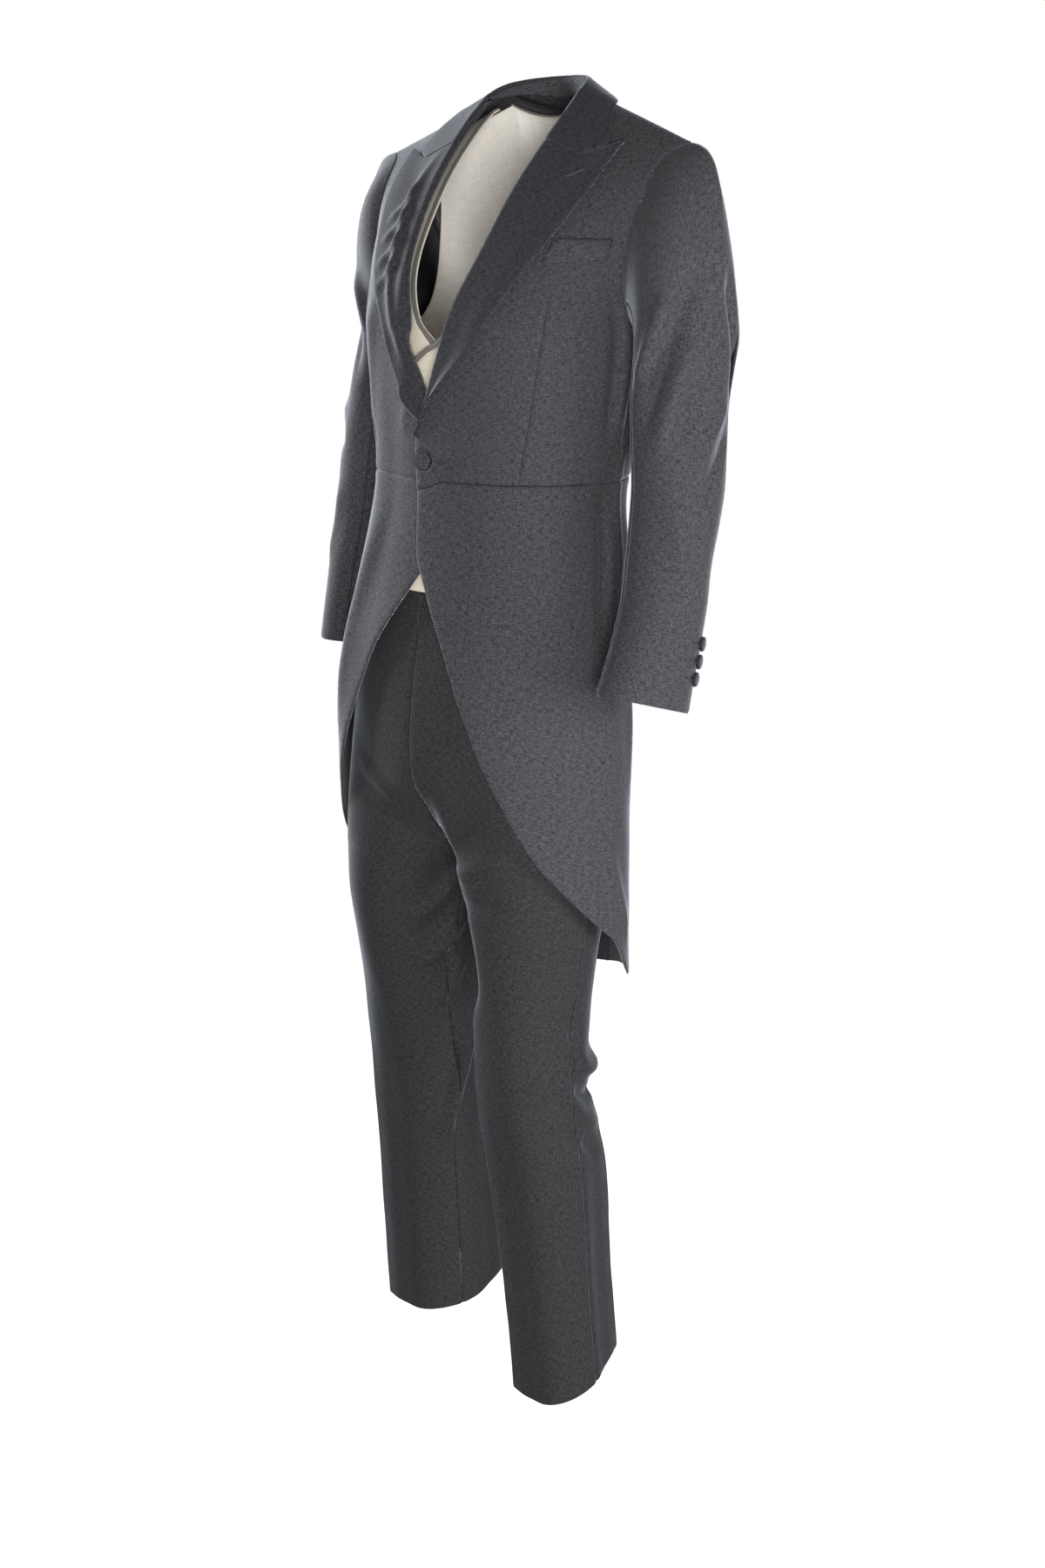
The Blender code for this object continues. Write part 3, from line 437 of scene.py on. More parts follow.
def waistcoat_back(s, t):
    """From the left side round the back to the right side."""
    level = blend(WAISTCOAT_HEM, WAISTCOAT_TOP, t)
    side = 180 - smooth_table(WAISTCOAT_ARMHOLE, level).angle
    return blend(side, 360 - side, s), level


def waistcoat_back_neck():
    """How far across the waistcoat's back its first neck point is."""
    side = 180 - WAISTCOAT_ARMHOLE[-1].angle
    return (180 - angle_at(NECK_HALF, WAISTCOAT_TOP) - side) / (360 - 2 * side)


def back_neck_piping(s, t):
    """Along the neck edge of the waistcoat's back, between its neck points."""
    neck = waistcoat_back_neck()
    foot = waistcoat_share(WAISTCOAT_TOP - PIPING_WIDTH)
    return waistcoat_back(blend(neck, 1 - neck, s), blend(foot, 1, t))


def right_underlap(angle, level, depth):
    """How far the right front lies under the left one near the centre."""
    return -depth * ramp(angle, *UNDERLAP_TURNS) * ramp(level, *UNDERLAP_LEVELS)


def torso_normal(angle, level):
    """The way out of the torso. At the shoulder line it is the same for the front and the back."""
    turn_step, level_step = 0.5, 0.002
    across = torso(angle + turn_step, level) - torso(angle - turn_step, level)
    up = torso(angle, min(level + level_step, NECK_POINT.z)) - torso(angle, level - level_step)
    out = across.cross(up).normalized()
    rise = (level - CHEST_LINE) / (NECK_POINT.z - CHEST_LINE)
    fall = (NECK_POINT.z - SHOULDER_POINT.z) / (SHOULDER_POINT.x - NECK_POINT.x)
    outwards = min(max(torso(angle, level).x / NECK_HALF, -1), 1)
    backwards = 1 - outwards ** 2 if math.cos(math.radians(angle)) < 0 else 0
    shoulder = Vector((fall * outwards, backwards, 1)).normalized()
    return out.lerp(shoulder, ramp(rise, SHOULDER_RISE, 1)).normalized()


# A place on a piece: the point, the way out, the turn in degrees round the body, arm or leg, and the
# height above the wearer's floor. Each surface below gives one for s across it and t up it. The way
# out may be None where it is found later from the places around it; lift is how far along it to go.
Spot = namedtuple("Spot", "point out turn height lift", defaults=(0.0,))


def on_torso(outline, lift):
    """A surface from an outline that gives angle and level, lifted off the coat's outer side."""
    def surface(s, t):
        angle, level = outline(s, t)
        out = torso_normal(angle, level)
        return Spot(torso(angle, level) + out * given(lift, angle, level), out, angle, level)
    return surface


def bare_torso(outline, lift=0.0):
    """A surface on the coat's outer side, lifted once its way out is known."""
    def surface(s, t):
        angle, level = outline(s, t)
        return Spot(torso(angle, level), None, angle, level, given(lift, angle, level))
    return surface


def bare_spots(surface, first_turn, last_turn):
    """Adds the turn and the height to a surface that gives only its points."""
    def spot(s, t):
        point = surface(s, t)
        return Spot(point, None, blend(first_turn, last_turn, s), point.z + ORIGIN_HEIGHT)
    return spot


def with_spots(surface, first_turn=0.0, last_turn=0.0):
    """Adds the way out, the turn and the height to a surface that gives only its points."""
    step = 0.004

    def spot(s, t):
        across = surface(s + step, t) - surface(s - step, t)
        up = surface(s, t + step) - surface(s, t - step)
        return bare_spots(surface, first_turn, last_turn)(s, t)._replace(out=across.cross(up).normalized())
    return spot


def flat_way(way, out):
    """The direction of a way once it lies flat on cloth with this way out."""
    return (way - out * way.dot(out)).normalized()


def rolled_start(surface, share):
    """The surface with its first border (s = 0) rolled over and back under the piece. The roll takes
    up a share of its columns."""
    reach = 0.02

    def spot(s, t):
        reached = (surface(reach, t).point - surface(0, t).point).length
        inset = min(reach * ROLL_RADIUS / max(reached, 1e-5), 0.5)
        if s >= share:
            return surface(blend(inset, 1, (s - share) / (1 - share)), t)
        edge = surface(inset, t)
        away = flat_way(edge.point - surface(inset + reach, t).point, edge.out)
        turn = math.pi * (1 - s / share)
        out = edge.out * math.cos(turn) + away * math.sin(turn)
        return edge._replace(point=edge.point + (out - edge.out) * ROLL_RADIUS)
    return spot


def stood_off(surface, rule):
    """The surface, lifted along its way out by the rule's height at s and t."""
    def spot(s, t):
        flat = surface(s, t)
        return flat._replace(point=flat.point + flat.out * rule(s, t))
    return spot


def sleeve(side, first_turn, last_turn):
    """Part of a sleeve between two turns round it, from the armhole down to the cuff."""
    rings = SLEEVES[side]
    underarm, cuff = rings[-1].height, rings[0].height

    def ring_point(turn, height):
        ring = smooth_table(rings, height)
        forward = ring.half_y * math.sin(turn)
        return Vector((ring.x + ring.half_x * math.cos(turn), ring.y - forward,
                       height + ring.slope * forward - ORIGIN_HEIGHT))

    def surface(s, t):
        degrees = blend(first_turn, last_turn, s)
        turn = math.radians(degrees)
        if t > SLEEVE_CAP_SHARE:
            return ring_point(turn, blend(underarm, cuff, (t - SLEEVE_CAP_SHARE) / (1 - SLEEVE_CAP_SHARE)))
        hole = smooth_table(ARMHOLE, degrees % 360)
        out = Vector((1.0, -SLEEVE_FAN * math.sin(turn), 0.0)).normalized()
        start = torso(hole.angle, hole.level) - out * SLEEVE_TUCK
        end = ring_point(turn, underarm)
        drop = start.z - end.z
        head = start + out * (SLEEVE_HEAD[side] * drop / (SHOULDER_POINT.z - underarm))
        elbow = end + Vector((0, 0, SLEEVE_DROP * drop))
        u = max(t, 0) / SLEEVE_CAP_SHARE
        return (start * (1 - u) ** 3 + head * 3 * u * (1 - u) ** 2
                + elbow * 3 * u * u * (1 - u) + end * u ** 3)
    return surface


def leg_turns(side, first, t):
    """The turns where a front panel (first = -90) or a back panel (90) starts and ends."""
    hem = TROUSER_HEMS[side]
    level = blend((hem.front + hem.back) / 2, TROUSER_TOP, t)
    forward = INSEAM_FORWARD[side] * ramp(level, *INSEAM_LEVELS)
    return (first + forward, first + 180) if first < 0 else (first, first + 180 + forward)


def trouser_leg(side, first):
    """One panel of a trouser leg, hip included. Turns run from the inseam (-90) round the front."""
    hem = TROUSER_HEMS[side]

    def surface(s, t):
        turn = blend(*leg_turns(side, first, t), s)
        radians = math.radians(turn)
        hem_height = blend(hem.front, hem.back, (1 - math.cos(radians)) / 2)
        height = blend(hem_height, TROUSER_TOP, t)
        leg = smooth_table(LEGS[side], height)
        on_leg = Vector((leg.x + leg.half_x * math.sin(radians), leg.y - leg.half_y * math.cos(radians)))
        x, y, _ = on_ring(smooth_table(HIPS, height), math.radians((turn + 90) / 2))
        fall = min(max((HIP_END - height) / (HIP_END - CROTCH), 0), 1)
        inner = ((1 - math.sin(radians)) / 2) ** 2
        share = blend(ramp(height, HIP_END, CROTCH), 1 - math.sqrt(1 - fall ** FORK_ROUNDNESS), inner)
        point = Vector((x, y)).lerp(on_leg, share)
        return Spot(Vector((point.x, point.y, height - ORIGIN_HEIGHT)), None, turn, height)
    return surface


def waistband(s, t):
    height = blend(TROUSER_TOP + SEAM_GAP, WAISTBAND_TOP, t)
    x, y, _ = on_ring(smooth_table(HIPS, height), math.pi * s)
    return Vector((x, y, height - ORIGIN_HEIGHT))


# The collar, from the front end (0) to the centre back (1) and a row beyond it: its fold, its outer
# edge and the stand's foot. The first column is the way along it.
Collar = namedtuple("Collar", "height fold_x fold_y fold_z edge_x edge_y edge_z foot_x foot_y foot_z")
COLLAR = (
    Collar(0.00, 0.063, -0.034, 1.533, 0.135, -0.013, 1.531, 0.066, -0.020, 1.545),
    Collar(0.25, 0.065, -0.004, 1.566, 0.116, 0.012, 1.558, 0.066, 0.004, 1.572),
    Collar(0.50, 0.061, 0.026, 1.591, 0.103, 0.032, 1.570, 0.061, 0.0285, 1.580),
    Collar(0.75, 0.043, 0.053, 1.601, 0.066, 0.068, 1.571, 0.038, 0.049, 1.584),
    Collar(1.00, 0.000, 0.069, 1.604, 0.000, 0.089, 1.566, 0.000, 0.067, 1.580),
    Collar(1.25, -0.043, 0.053, 1.601, -0.066, 0.068, 1.571, -0.038, 0.049, 1.584),
)
COLLAR_BULGE = 0.003
COLLAR_SEWN = 0.4          # of the way to the centre back, over which the lapel holds the collar
STAND_START = 0.42         # the stand's front end, on the way to the centre back
SHOULDER_REACH = 0.013     # how far a place on the shoulders is felt


def shoulder_samples():
    """Points and ways out all over the shoulders and the upper back, up to the neck line."""
    step, beside_neck, low, high, rows = 4, 1.500, 1.490, NECK_POINT.z - 0.001, 13
    angles = [turn for turn in range(step - 180, 181, step)
              if abs(turn) > 90 or abs(torso(turn, beside_neck).x) > NECK_POINT.x]
    spots = [(angle, level) for angle in angles for level in even(low, high, rows)]
    return (np.array([torso(*spot) for spot in spots]), np.array([torso_normal(*spot) for spot in spots]))


SHOULDER_POINTS, SHOULDER_OUTS = shoulder_samples()


def clear_of_torso(point, lift):
    """The point, moved out until it is clear of the coat's shoulders, evenly along the collar."""
    away = np.array(point) - SHOULDER_POINTS
    weight = np.exp(-(away * away).sum(1) / SHOULDER_REACH ** 2)
    out = Vector(weight @ SHOULDER_OUTS).normalized()
    short = lift - float(weight @ (away @ np.array(out)) / weight.sum())
    softening = 1e-6
    return point + out * (short + math.sqrt(short * short + softening)) / 2


def collar_place(row, part):
    """The fold, the edge or the foot of a row of the collar."""
    x, y, z = (getattr(row, f"{part}_{axis}") for axis in "xyz")
    return Vector((x, y, z - ORIGIN_HEIGHT))


def collar_fall(s, t):
    """From the fold (0) to the outer edge (1), and from the left front end round to the right one."""
    way = 1 - abs(1 - 2 * t)
    row = smooth_table(COLLAR, way)
    point = collar_place(row, "fold").lerp(collar_place(row, "edge"), s)
    if way < COLLAR_SEWN:
        notch, corner = (lapel_share(angle) for angle in (NOTCH.angle, COLLAR_CORNER_ANGLE))
        angle, level = lapel(corner * s, 1)
        opening = NOTCH_OPENING * max(corner * s - notch, 0) / (corner - notch)
        on_lapel = torso(angle, level + opening) + torso_normal(angle, level) * LAPEL_LIFT
        straight = collar_place(COLLAR[0], "fold").lerp(collar_place(COLLAR[0], "edge"), s)
        point += (on_lapel - straight) * (1 - way / COLLAR_SEWN) ** 2
    point.z += COLLAR_BULGE * math.sin(math.pi * s) * way
    return mirrored(clear_of_torso(point, LAPEL_LIFT + SEAM_GAP), LEFT if t < 0.5 else RIGHT)


def collar_stand(s, t):
    """Inside the fall, from the neck seam (0) up to below the fold (1), right to left."""
    way = 1 - abs(1 - 2 * blend(STAND_START / 2, 1 - STAND_START / 2, s))
    fold = with_spots(collar_fall)(0, way / 2)
    top = fold.point - fold.out * (2 * CLOTH + LAYER_GAP)
    point = collar_place(smooth_table(COLLAR, way), "foot").lerp(top, t)
    return mirrored(point, LEFT if s > 0.5 else RIGHT)


# Creases: ridges (height above 0) and troughs (below 0) laid on the cloth along a path of turns and
# heights. width is from the middle to where it has all but gone. lean makes one side steeper, and
# sharp above 0 turns the round top into a pressed one.
Crease = namedtuple("Crease", "path width height lean sharp", defaults=(0.0, 0.0))
CREASE_CORE = 0.55         # of its width, where a crease has come down to a third
CREASE_FADE = 0.3          # of its length, over which it fades out at either end
PRESSED_FALL = 1.6         # how fast a pressed crease comes down from its top
TORSO_SCALE, SLEEVE_SCALE, LEG_SCALE = 0.0028, 0.00085, 0.00115      # metres a degree of turn
ARMHOLE_HOLD = 0.022       # how far from the armhole's seam the creases have died away

# The slight unevenness of worn cloth: long shallow waves that cross each other.
WAVE = 0.0006              # their height
WAVE_COUNT, WAVE_TURN, WAVE_LENGTH, WAVE_LENGTHENING = 5, 2.4, 0.055, 0.023
SEED_TURN, SEED_SHIFT = 0.9, 1.7

# What lies on one piece of cloth: its creases, and its waves by their seed and their height.
Relief = namedtuple("Relief", "creases scale seed wave", defaults=(TORSO_SCALE, 1, WAVE))


def cut_corners(path):
    """The path with its corners cut off twice."""
    for _ in range(2):
        quarters = [blend(a, b, share) for a, b in zip(path, path[1:]) for share in (0.25, 0.75)]
        path = [path[0]] + quarters[1:-1] + [path[-1]] if len(path) > 2 else path
    return path


def crease_relief(places, crease, scale):
    """How far one crease lifts each place. It fades out at both ends."""
    path = cut_corners([np.array((turn * scale, height)) for turn, height in crease.path])
    lengths = [math.dist(a, b) for a, b in zip(path, path[1:])]
    nearest = np.full(len(places), np.inf)
    along = np.zeros(len(places))
    side = np.zeros(len(places))
    gone = 0.0
    for start, end, length in zip(path, path[1:], lengths):
        step = end - start
        share = np.clip((places - start) @ step / (length * length), 0, 1)
        away = places - start - share[:, None] * step
        distance = np.hypot(away[:, 0], away[:, 1])
        nearer = distance < nearest
        nearest = np.where(nearer, distance, nearest)
        along = np.where(nearer, (gone + share * length) / sum(lengths), along)
        side = np.where(nearer, np.sign(step[0] * away[:, 1] - step[1] * away[:, 0]), side)
        gone += length
    spread = nearest / (CREASE_CORE * crease.width * (1 + crease.lean * side))
    profile = blend(np.exp(-spread ** 2), np.exp(-spread * PRESSED_FALL), crease.sharp)
    return crease.height * profile * ramps(np.minimum(along, 1 - along), CREASE_FADE)


def softness(places, seed, height):
    """How far the waves lift each place."""
    total = np.zeros(len(places))
    for number in range(WAVE_COUNT):
        turn = WAVE_TURN * number + SEED_TURN * seed
        length = WAVE_LENGTH + WAVE_LENGTHENING * number
        along = places[:, 0] * math.cos(turn) + places[:, 1] * math.sin(turn)
        total += np.sin(2 * math.pi * along / length + SEED_SHIFT * seed * (number + 1))
    return total * height / WAVE_COUNT


def relief_at(places, relief):
    """How far the creases and the waves of one piece lift each place (turn, height). Round an arm or
    a leg, the creases are laid a whole turn on and back as well."""
    places = np.array(places) * (relief.scale, 1)
    laps = (0,) if relief.scale == TORSO_SCALE else (0, 360, -360)
    total = softness(places, relief.seed, relief.wave)
    for crease in relief.creases:
        for lap in laps:
            total += crease_relief(places - (lap * relief.scale, 0), crease, relief.scale)
    return total


def on_cloth(spot, relief, lift):
    """A place on creased cloth, lifted off it, and the way out there."""
    creased = float(relief_at([(spot.turn, spot.height)], relief)[0])
    return spot.point + spot.out * (creased + lift), spot.out


@functools.cache
def armhole_points():
    holes = (smooth_table(ARMHOLE, turn) for turn in range(0, 360, 5))
    return np.array([torso(hole.angle, hole.level) for hole in holes])


def armhole_hold(points):
    """From 0 at the armhole's seam to 1 where its hold on the cloth has gone."""
    away = np.linalg.norm(np.array(points)[:, None, :] - armhole_points()[None], axis=2).min(axis=1)
    return ramps(away, ARMHOLE_HOLD)


# Seams: a dip, with the slight swelling of the cloth turned under on both sides of it, in its widths.
# A dip deeper than an edge's also gets shade painted along it, darker and wider the deeper it is.
SEAM_DIP, EDGE_DIP, DART_DIP = 0.0013, 0.0008, 0.0010
ARMHOLE_DIP, TROUSER_HEM_DIP = 0.0022, 0.0003
PIPING_DIP, PIPING_SEAM_DIP = 0.0004, 0.0005
DIP_WIDTH, DIP_POWER, DIP_REACH = 0.0014, 1.5, 12
SWELL, SWELL_PLACE, SWELL_WIDTH = 0.22, 4.2, 2.2
# how wide the shade painted along a seam is
PAINTED_SHADE_WIDTH = 0.0007
BESIDE_SEAM = (0.0, 0.0004, 0.0010, 0.0019, 0.0034, 0.0060)      # columns next to a seam or an edge
BORDER_GAP = 0.00003       # how far a piece's grid stays inside its borders
NARROWEST = 0.004          # width of a piece that its columns are laid out for, where it ends in a point

# How one piece is laid out: the columns between its seams and its rows; the seams across it (knots
# from 0 to 1) and the dip at each, both as they are or as rules for a height t; and the dips at the
# bottom and the top, as they are or as rules for a place s.
Layout = namedtuple("Layout", "columns rows knots dips ends",
                    defaults=((0, 1), (SEAM_DIP, SEAM_DIP), (SEAM_DIP, SEAM_DIP)))


def ladder(knots, steps, length):
    """Places from knot to knot: close together beside each one, and even between two."""
    found = []
    for first, last, count in zip(knots, knots[1:], steps):
        scale = min(1, (last - first) * length / (3 * BESIDE_SEAM[-1]))
        near = [step * scale / length for step in BESIDE_SEAM]
        found += [first + step for step in near[:-1]]
        found += even(first + near[-1], last - near[-1], count)
        found += [last - step for step in near[-2:0:-1]]
    return found + [knots[-1]]


def dip_relief(distance, depth):
    """How far a seam lifts a place beside it."""
    away = abs(distance) / DIP_WIDTH
    if away > DIP_REACH or not depth:
        return 0.0
    swell = SWELL * math.exp(-((away - SWELL_PLACE) / SWELL_WIDTH) ** 2)
    return depth * (swell - math.exp(-away ** DIP_POWER))


def painted_seam_shade(distance, depth):
    """How deep in the shade painted along a seam a place is, from 0 to 1. It is painted along true seams, not
    along edges.
    """
    dark = min(max(depth - EDGE_DIP, 0) / (SEAM_DIP - EDGE_DIP), 1)
    width = PAINTED_SHADE_WIDTH * max(depth / SEAM_DIP, 1)
    return dark * math.exp(-(distance / width) ** 2)


def arc_length(points):
    return sum((b - a).length for a, b in zip(points, points[1:]))


def ways_out(points):
    """The way out at each point of a grid of rows, from the points around it."""
    across, up = np.empty_like(points), np.empty_like(points)
    across[:, 1:-1], up[1:-1] = points[:, 2:] - points[:, :-2], points[2:] - points[:-2]
    across[:, 0], across[:, -1] = points[:, 1] - points[:, 0], points[:, -1] - points[:, -2]
    up[0], up[-1] = points[1] - points[0], points[-1] - points[-2]
    out = np.cross(across, up)
    out /= np.maximum(np.linalg.norm(out, axis=2, keepdims=True), 1e-12)
    return [Vector(way) for way in out.reshape(-1, 3)]


def lay_cloth(surface, layout, relief, side):
    """One piece's grid: its points, the shade painted along its seams and its grain places (metres
    across and up), then its numbers of columns and rows."""
    length = arc_length([surface(0.5, step / 12).point for step in range(13)])
    rows = ladder([0, 1], [layout.rows], length)
    points, outs, lifts, places, painted_shades, grain = [], [], [], [], [], []
    for t in rows:
        t_in = blend(BORDER_GAP / length, 1 - BORDER_GAP / length, t)
        width = max(arc_length([surface(step / 8, t_in).point for step in range(9)]), NARROWEST)
        knots, depths = given(layout.knots, t), given(layout.dips, t)
        columns = ladder(knots, layout.columns, width)
        for s in columns:
            spot = surface(blend(BORDER_GAP / width, 1 - BORDER_GAP / width, s), t_in)
            seams = [((s - knot) * width, depth) for knot, depth in zip(knots, depths)]
            seams += [(t * length, given(layout.ends[0], s)), ((1 - t) * length, given(layout.ends[1], s))]
            points.append(spot.point)
            outs.append(spot.out)
            lifts.append(spot.lift + sum(dip_relief(*seam) for seam in seams))
            places.append((spot.turn, spot.height))
            # The shade painted along the nearest seam.
            painted_shades.append(max(painted_seam_shade(*seam) for seam in seams))
            grain.append((s * width, t * length))
    if outs[0] is None:
        outs = ways_out(np.array(points).reshape(len(rows), len(columns), 3))
    lifts = np.array(lifts) + relief_at(places, relief) * armhole_hold(points)
    moved = [mirrored(point + out * float(lift), side) for point, out, lift in zip(points, outs, lifts)]
    return moved, painted_shades, grain, len(columns), len(rows)


# A cloth made up: its finishes outside and inside, its wall, the slot it fills, and which of the two
# finishes its cut edges show.
Stuff = namedtuple("Stuff", "outer inner wall slot rim", defaults=(0,))
TRIMS = {}      # the small pieces on each sheet


def lay_grain(mesh, place):
    """Writes every corner's place on the grain, by a rule for its vertex."""
    grain = mesh.loops.layers.uv.new("grain")
    for face in mesh.faces:
        for loop in face.loops:
            loop[grain].uv = place(loop.vert)


def lay_painted_shade(mesh, depth):
    """Writes how deep in painted shade every vertex is, by a rule for it: the shade painted along seams, or
    round a button's rim.
    """
    painted_shades = mesh.verts.layers.float.new("seam")
    for vertex in mesh.verts:
        vertex[painted_shades] = depth(vertex)


def add_piece(name, mesh, finishes, slot, *nodes):
    """An object from the mesh that rides with the suit and stands for the nodes named."""
    data = bpy.data.meshes.new(name)
    mesh.to_mesh(data)
    mesh.free()
    data.shade_smooth()
    for finish in finishes:
        data.materials.append(finish)
    item = bpy.data.objects.new(name, data)
    bpy.context.scene.collection.objects.link(item)
    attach(item, "root")
    if nodes:
        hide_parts(*nodes)
    return item


def add_cloth(name, node, surface, layout, stuff, relief, side=LEFT, trims=None):
    """One piece of cloth, its outer side from the surface. trims is the piece that a narrow trim
    belongs to, and the trim is kept under that piece in TRIMS."""
    points, painted_shades, grain, across, up = lay_cloth(surface, layout, relief, side)
    mesh = bmesh.new()
    bmesh.ops.create_grid(mesh, x_segments=across - 1, y_segments=up - 1, size=0.5)
    for vertex in mesh.verts:
        column, row = round((vertex.co.x + 0.5) * (across - 1)), round((vertex.co.y + 0.5) * (up - 1))
        vertex.index = row * across + column
        vertex.co = points[vertex.index]
    lay_grain(mesh, lambda vertex: grain[vertex.index])
    lay_painted_shade(mesh, lambda vertex: painted_shades[vertex.index])
    if side == RIGHT:
        bmesh.ops.reverse_faces(mesh, faces=mesh.faces)
    area = sum(face.calc_area() for face in mesh.faces)
    item = add_piece(name, mesh, (stuff.outer, stuff.inner), stuff.slot, node)
    wall = item.modifiers.new("wall", "SOLIDIFY")
    wall.thickness, wall.offset = stuff.wall, -1
    wall.material_offset, wall.material_offset_rim = 1, stuff.rim
    if trims:
        TRIMS.setdefault(trims, []).append(item)
    else:
        width, length = (max(place[axis] for place in grain) for axis in (0, 1))
        min(area, width * length)
    return item


# Finishes

class Value:
    """A number that varies over the surface. Arithmetic on it adds Math nodes."""

    def __init__(self, nodes, socket):
        self.nodes, self.socket = nodes, socket

    def _math(self, operation, first, second):
        sockets = {0: first, 1: second}
        return Value(self.nodes, self.nodes.node("ShaderNodeMath", {"operation": operation}, sockets))

    def __add__(self, other):
        return self._math("ADD", self, other)

    __radd__ = __add__

    def __sub__(self, other):
        return self._math("SUBTRACT", self, other)

    def __rsub__(self, other):
        return self._math("SUBTRACT", other, self)

    def __mul__(self, other):
        return self._math("MULTIPLY", self, other)

    __rmul__ = __mul__

    def clamped(self):
        return self._math("MINIMUM", self._math("MAXIMUM", self, 0.0), 1.0)


class Nodes:
    """A tree of shader nodes, all of them added in one way."""

    def __init__(self, tree):
        self.tree = tree

    def feed(self, socket, value):
        if isinstance(value, Value):
            value = value.socket
        if isinstance(value, bpy.types.NodeSocket):
            self.tree.links.new(value, socket)
        else:
            socket.default_value = value

    def node(self, kind, settings=None, sockets=None, output=0):
        """One node: its settings first, and then its sockets, by place, name or identifier."""
        node = self.tree.nodes.new(kind)
        for setting, value in (settings or {}).items():
            setattr(node, setting, value)
        for key, value in (sockets or {}).items():
            named = [socket for socket in node.inputs if socket.identifier == key]
            self.feed(named[0] if named else node.inputs[key], value)
        if isinstance(output, str):
            return next(socket for socket in node.outputs if socket.identifier == output)
        return node.outputs[output]

    def mix(self, low, high, share):
        return self.node("ShaderNodeMix", {"data_type": "RGBA"},
                         {"Factor_Float": share, "A_Color": low, "B_Color": high}, "Result_Color")


class Finish(Nodes):
    """One material, with the shader's own numbers set and its varying ones built as expressions."""

    def __init__(self, name, **numbers):
        self.material = bpy.data.materials.new(name)
        self.material.use_nodes = True
        super().__init__(self.material.node_tree)
        self.shader = self.tree.nodes["Principled BSDF"]
        self.set(**numbers)

    def set(self, **values):
        """Sets or feeds the shader's sockets."""
        for socket, value in values.items():
            self.feed(self.shader.inputs[socket.replace("_", " ")], value)

    def grain(self, across, up, turn=0.0):
        """Places on the cloth, in steps of so many to the metre across and up its grain."""
        return self.node("ShaderNodeMapping", None, {
            "Vector": self.node("ShaderNodeUVMap", {"uv_map": "grain"}),
            "Rotation": (0, 0, turn), "Scale": (across, up, 1)})

    def noise(self, across, up, detail=1.0):
        """Speckles as wide as a step across and a step up, from 0 to 1 around 0.5."""
        return Value(self, self.node("ShaderNodeTexNoise", {"noise_dimensions": "2D"},
                                     {"Vector": self.grain(across, up), "Scale": 1.0, "Detail": detail}))

    def ribs(self, count, turn):
        """Even threads, so many to the metre: a sine across the grain."""
        return Value(self, self.node("ShaderNodeTexWave", {"wave_type": "BANDS", "bands_direction": "X"},
                                     {"Vector": self.grain(count, count, turn), "Scale": 1.0}, "Fac"))

    def seams(self):
        """How deep in the shade painted along a seam or round a button's rim the place is."""
        return Value(self, self.node("ShaderNodeAttribute", {"attribute_name": "seam"}, output="Fac"))

    def dress(self, colour, roughness, height, distance, strength):
        """Gives the shader its colour, its roughness and a bump from the height."""
        bump = self.node("ShaderNodeBump", None,
                         {"Height": height, "Distance": distance, "Strength": strength})
        self.set(Base_Color=colour, Roughness=roughness, Normal=bump)
        return self.material


def shade(colour, factor):
    return tuple(min(part * factor, 1.0) for part in colour) + (1.0,)


THREAD_TURN = math.radians(26)       # of the twill line off the warp
PAINTED_SHADE_TONE, PAINTED_SHADE_STRENGTH = 0.12, 0.70         # the colour of the shade painted along seams and round button rims, and how much of it shows


def make_wool(name, colour, contrast, sheen):
    """Worsted wool: darker and lighter fibres mixed in warp, weft and twill, a soft bloom, and shade painted
    along its seams and round its buttons' rims.
    """
    cloth = Finish(name, Sheen_Weight=sheen, Sheen_Roughness=0.28, Sheen_Tint=(0.84, 0.90, 1.0, 1.0),
                   Specular_IOR_Level=0.15)
    warp = cloth.noise(800, 170)
    weft = cloth.noise(170, 760)
    fibre = cloth.noise(900, 900)
    cloudy = cloth.noise(9, 7, 2.0)
    heather = (0.5 + (warp - 0.5) * 1.1 + (weft - 0.5) * 1.1 + (fibre - 0.5) * 0.9).clamped()
    tone = (heather * 0.96 + cloudy * 0.04).clamped()
    colour_now = cloth.mix(shade(colour, 1 - contrast), shade(colour, 1 + contrast), tone)
    # Painted shade: the colour darkens towards a dark tone along the seams and round the buttons' rims.
    colour_now = cloth.mix(colour_now, shade(colour, PAINTED_SHADE_TONE), cloth.seams() * PAINTED_SHADE_STRENGTH)
    height = cloth.ribs(300, THREAD_TURN) * 0.35 + warp * 0.3 + weft * 0.3 + fibre * 0.6
    return cloth.dress(colour_now, 0.90 - 0.12 * heather, height, 0.00022, 0.6)


def make_ivory(name, colour):
    """A smooth fine twill in ivory, with a faint slub."""
    cloth = Finish(name, Sheen_Weight=0.12, Sheen_Roughness=0.5, Specular_IOR_Level=0.25)
    slub = cloth.noise(26, 420)
    warp = cloth.noise(520, 40)
    twill = cloth.ribs(290, THREAD_TURN)
    tone = (0.5 + (slub - 0.5) * 0.8 + (warp - 0.5) * 0.6 + (twill - 0.5) * 0.3).clamped()
    return cloth.dress(cloth.mix(shade(colour, 0.93), shade(colour, 1.05), tone), 0.70 + 0.08 * slub,
                       twill * 0.5 + slub * 0.5, 0.00012, 0.5)


def make_satin(name, colour, roughness, ribs):
    """Satin: long floats that run one way and catch the light."""
    cloth = Finish(name, Sheen_Weight=0.15, Specular_IOR_Level=0.55)
    floats = cloth.noise(40, ribs)
    streak = cloth.noise(ribs, 30)
    tone = (0.5 + (floats - 0.5) * 0.8 + (streak - 0.5) * 0.6).clamped()
    return cloth.dress(cloth.mix(shade(colour, 0.85), shade(colour, 1.15), tone), roughness + 0.12 * floats,
                       floats * 0.6 + streak * 0.4, 0.00010, 0.4)


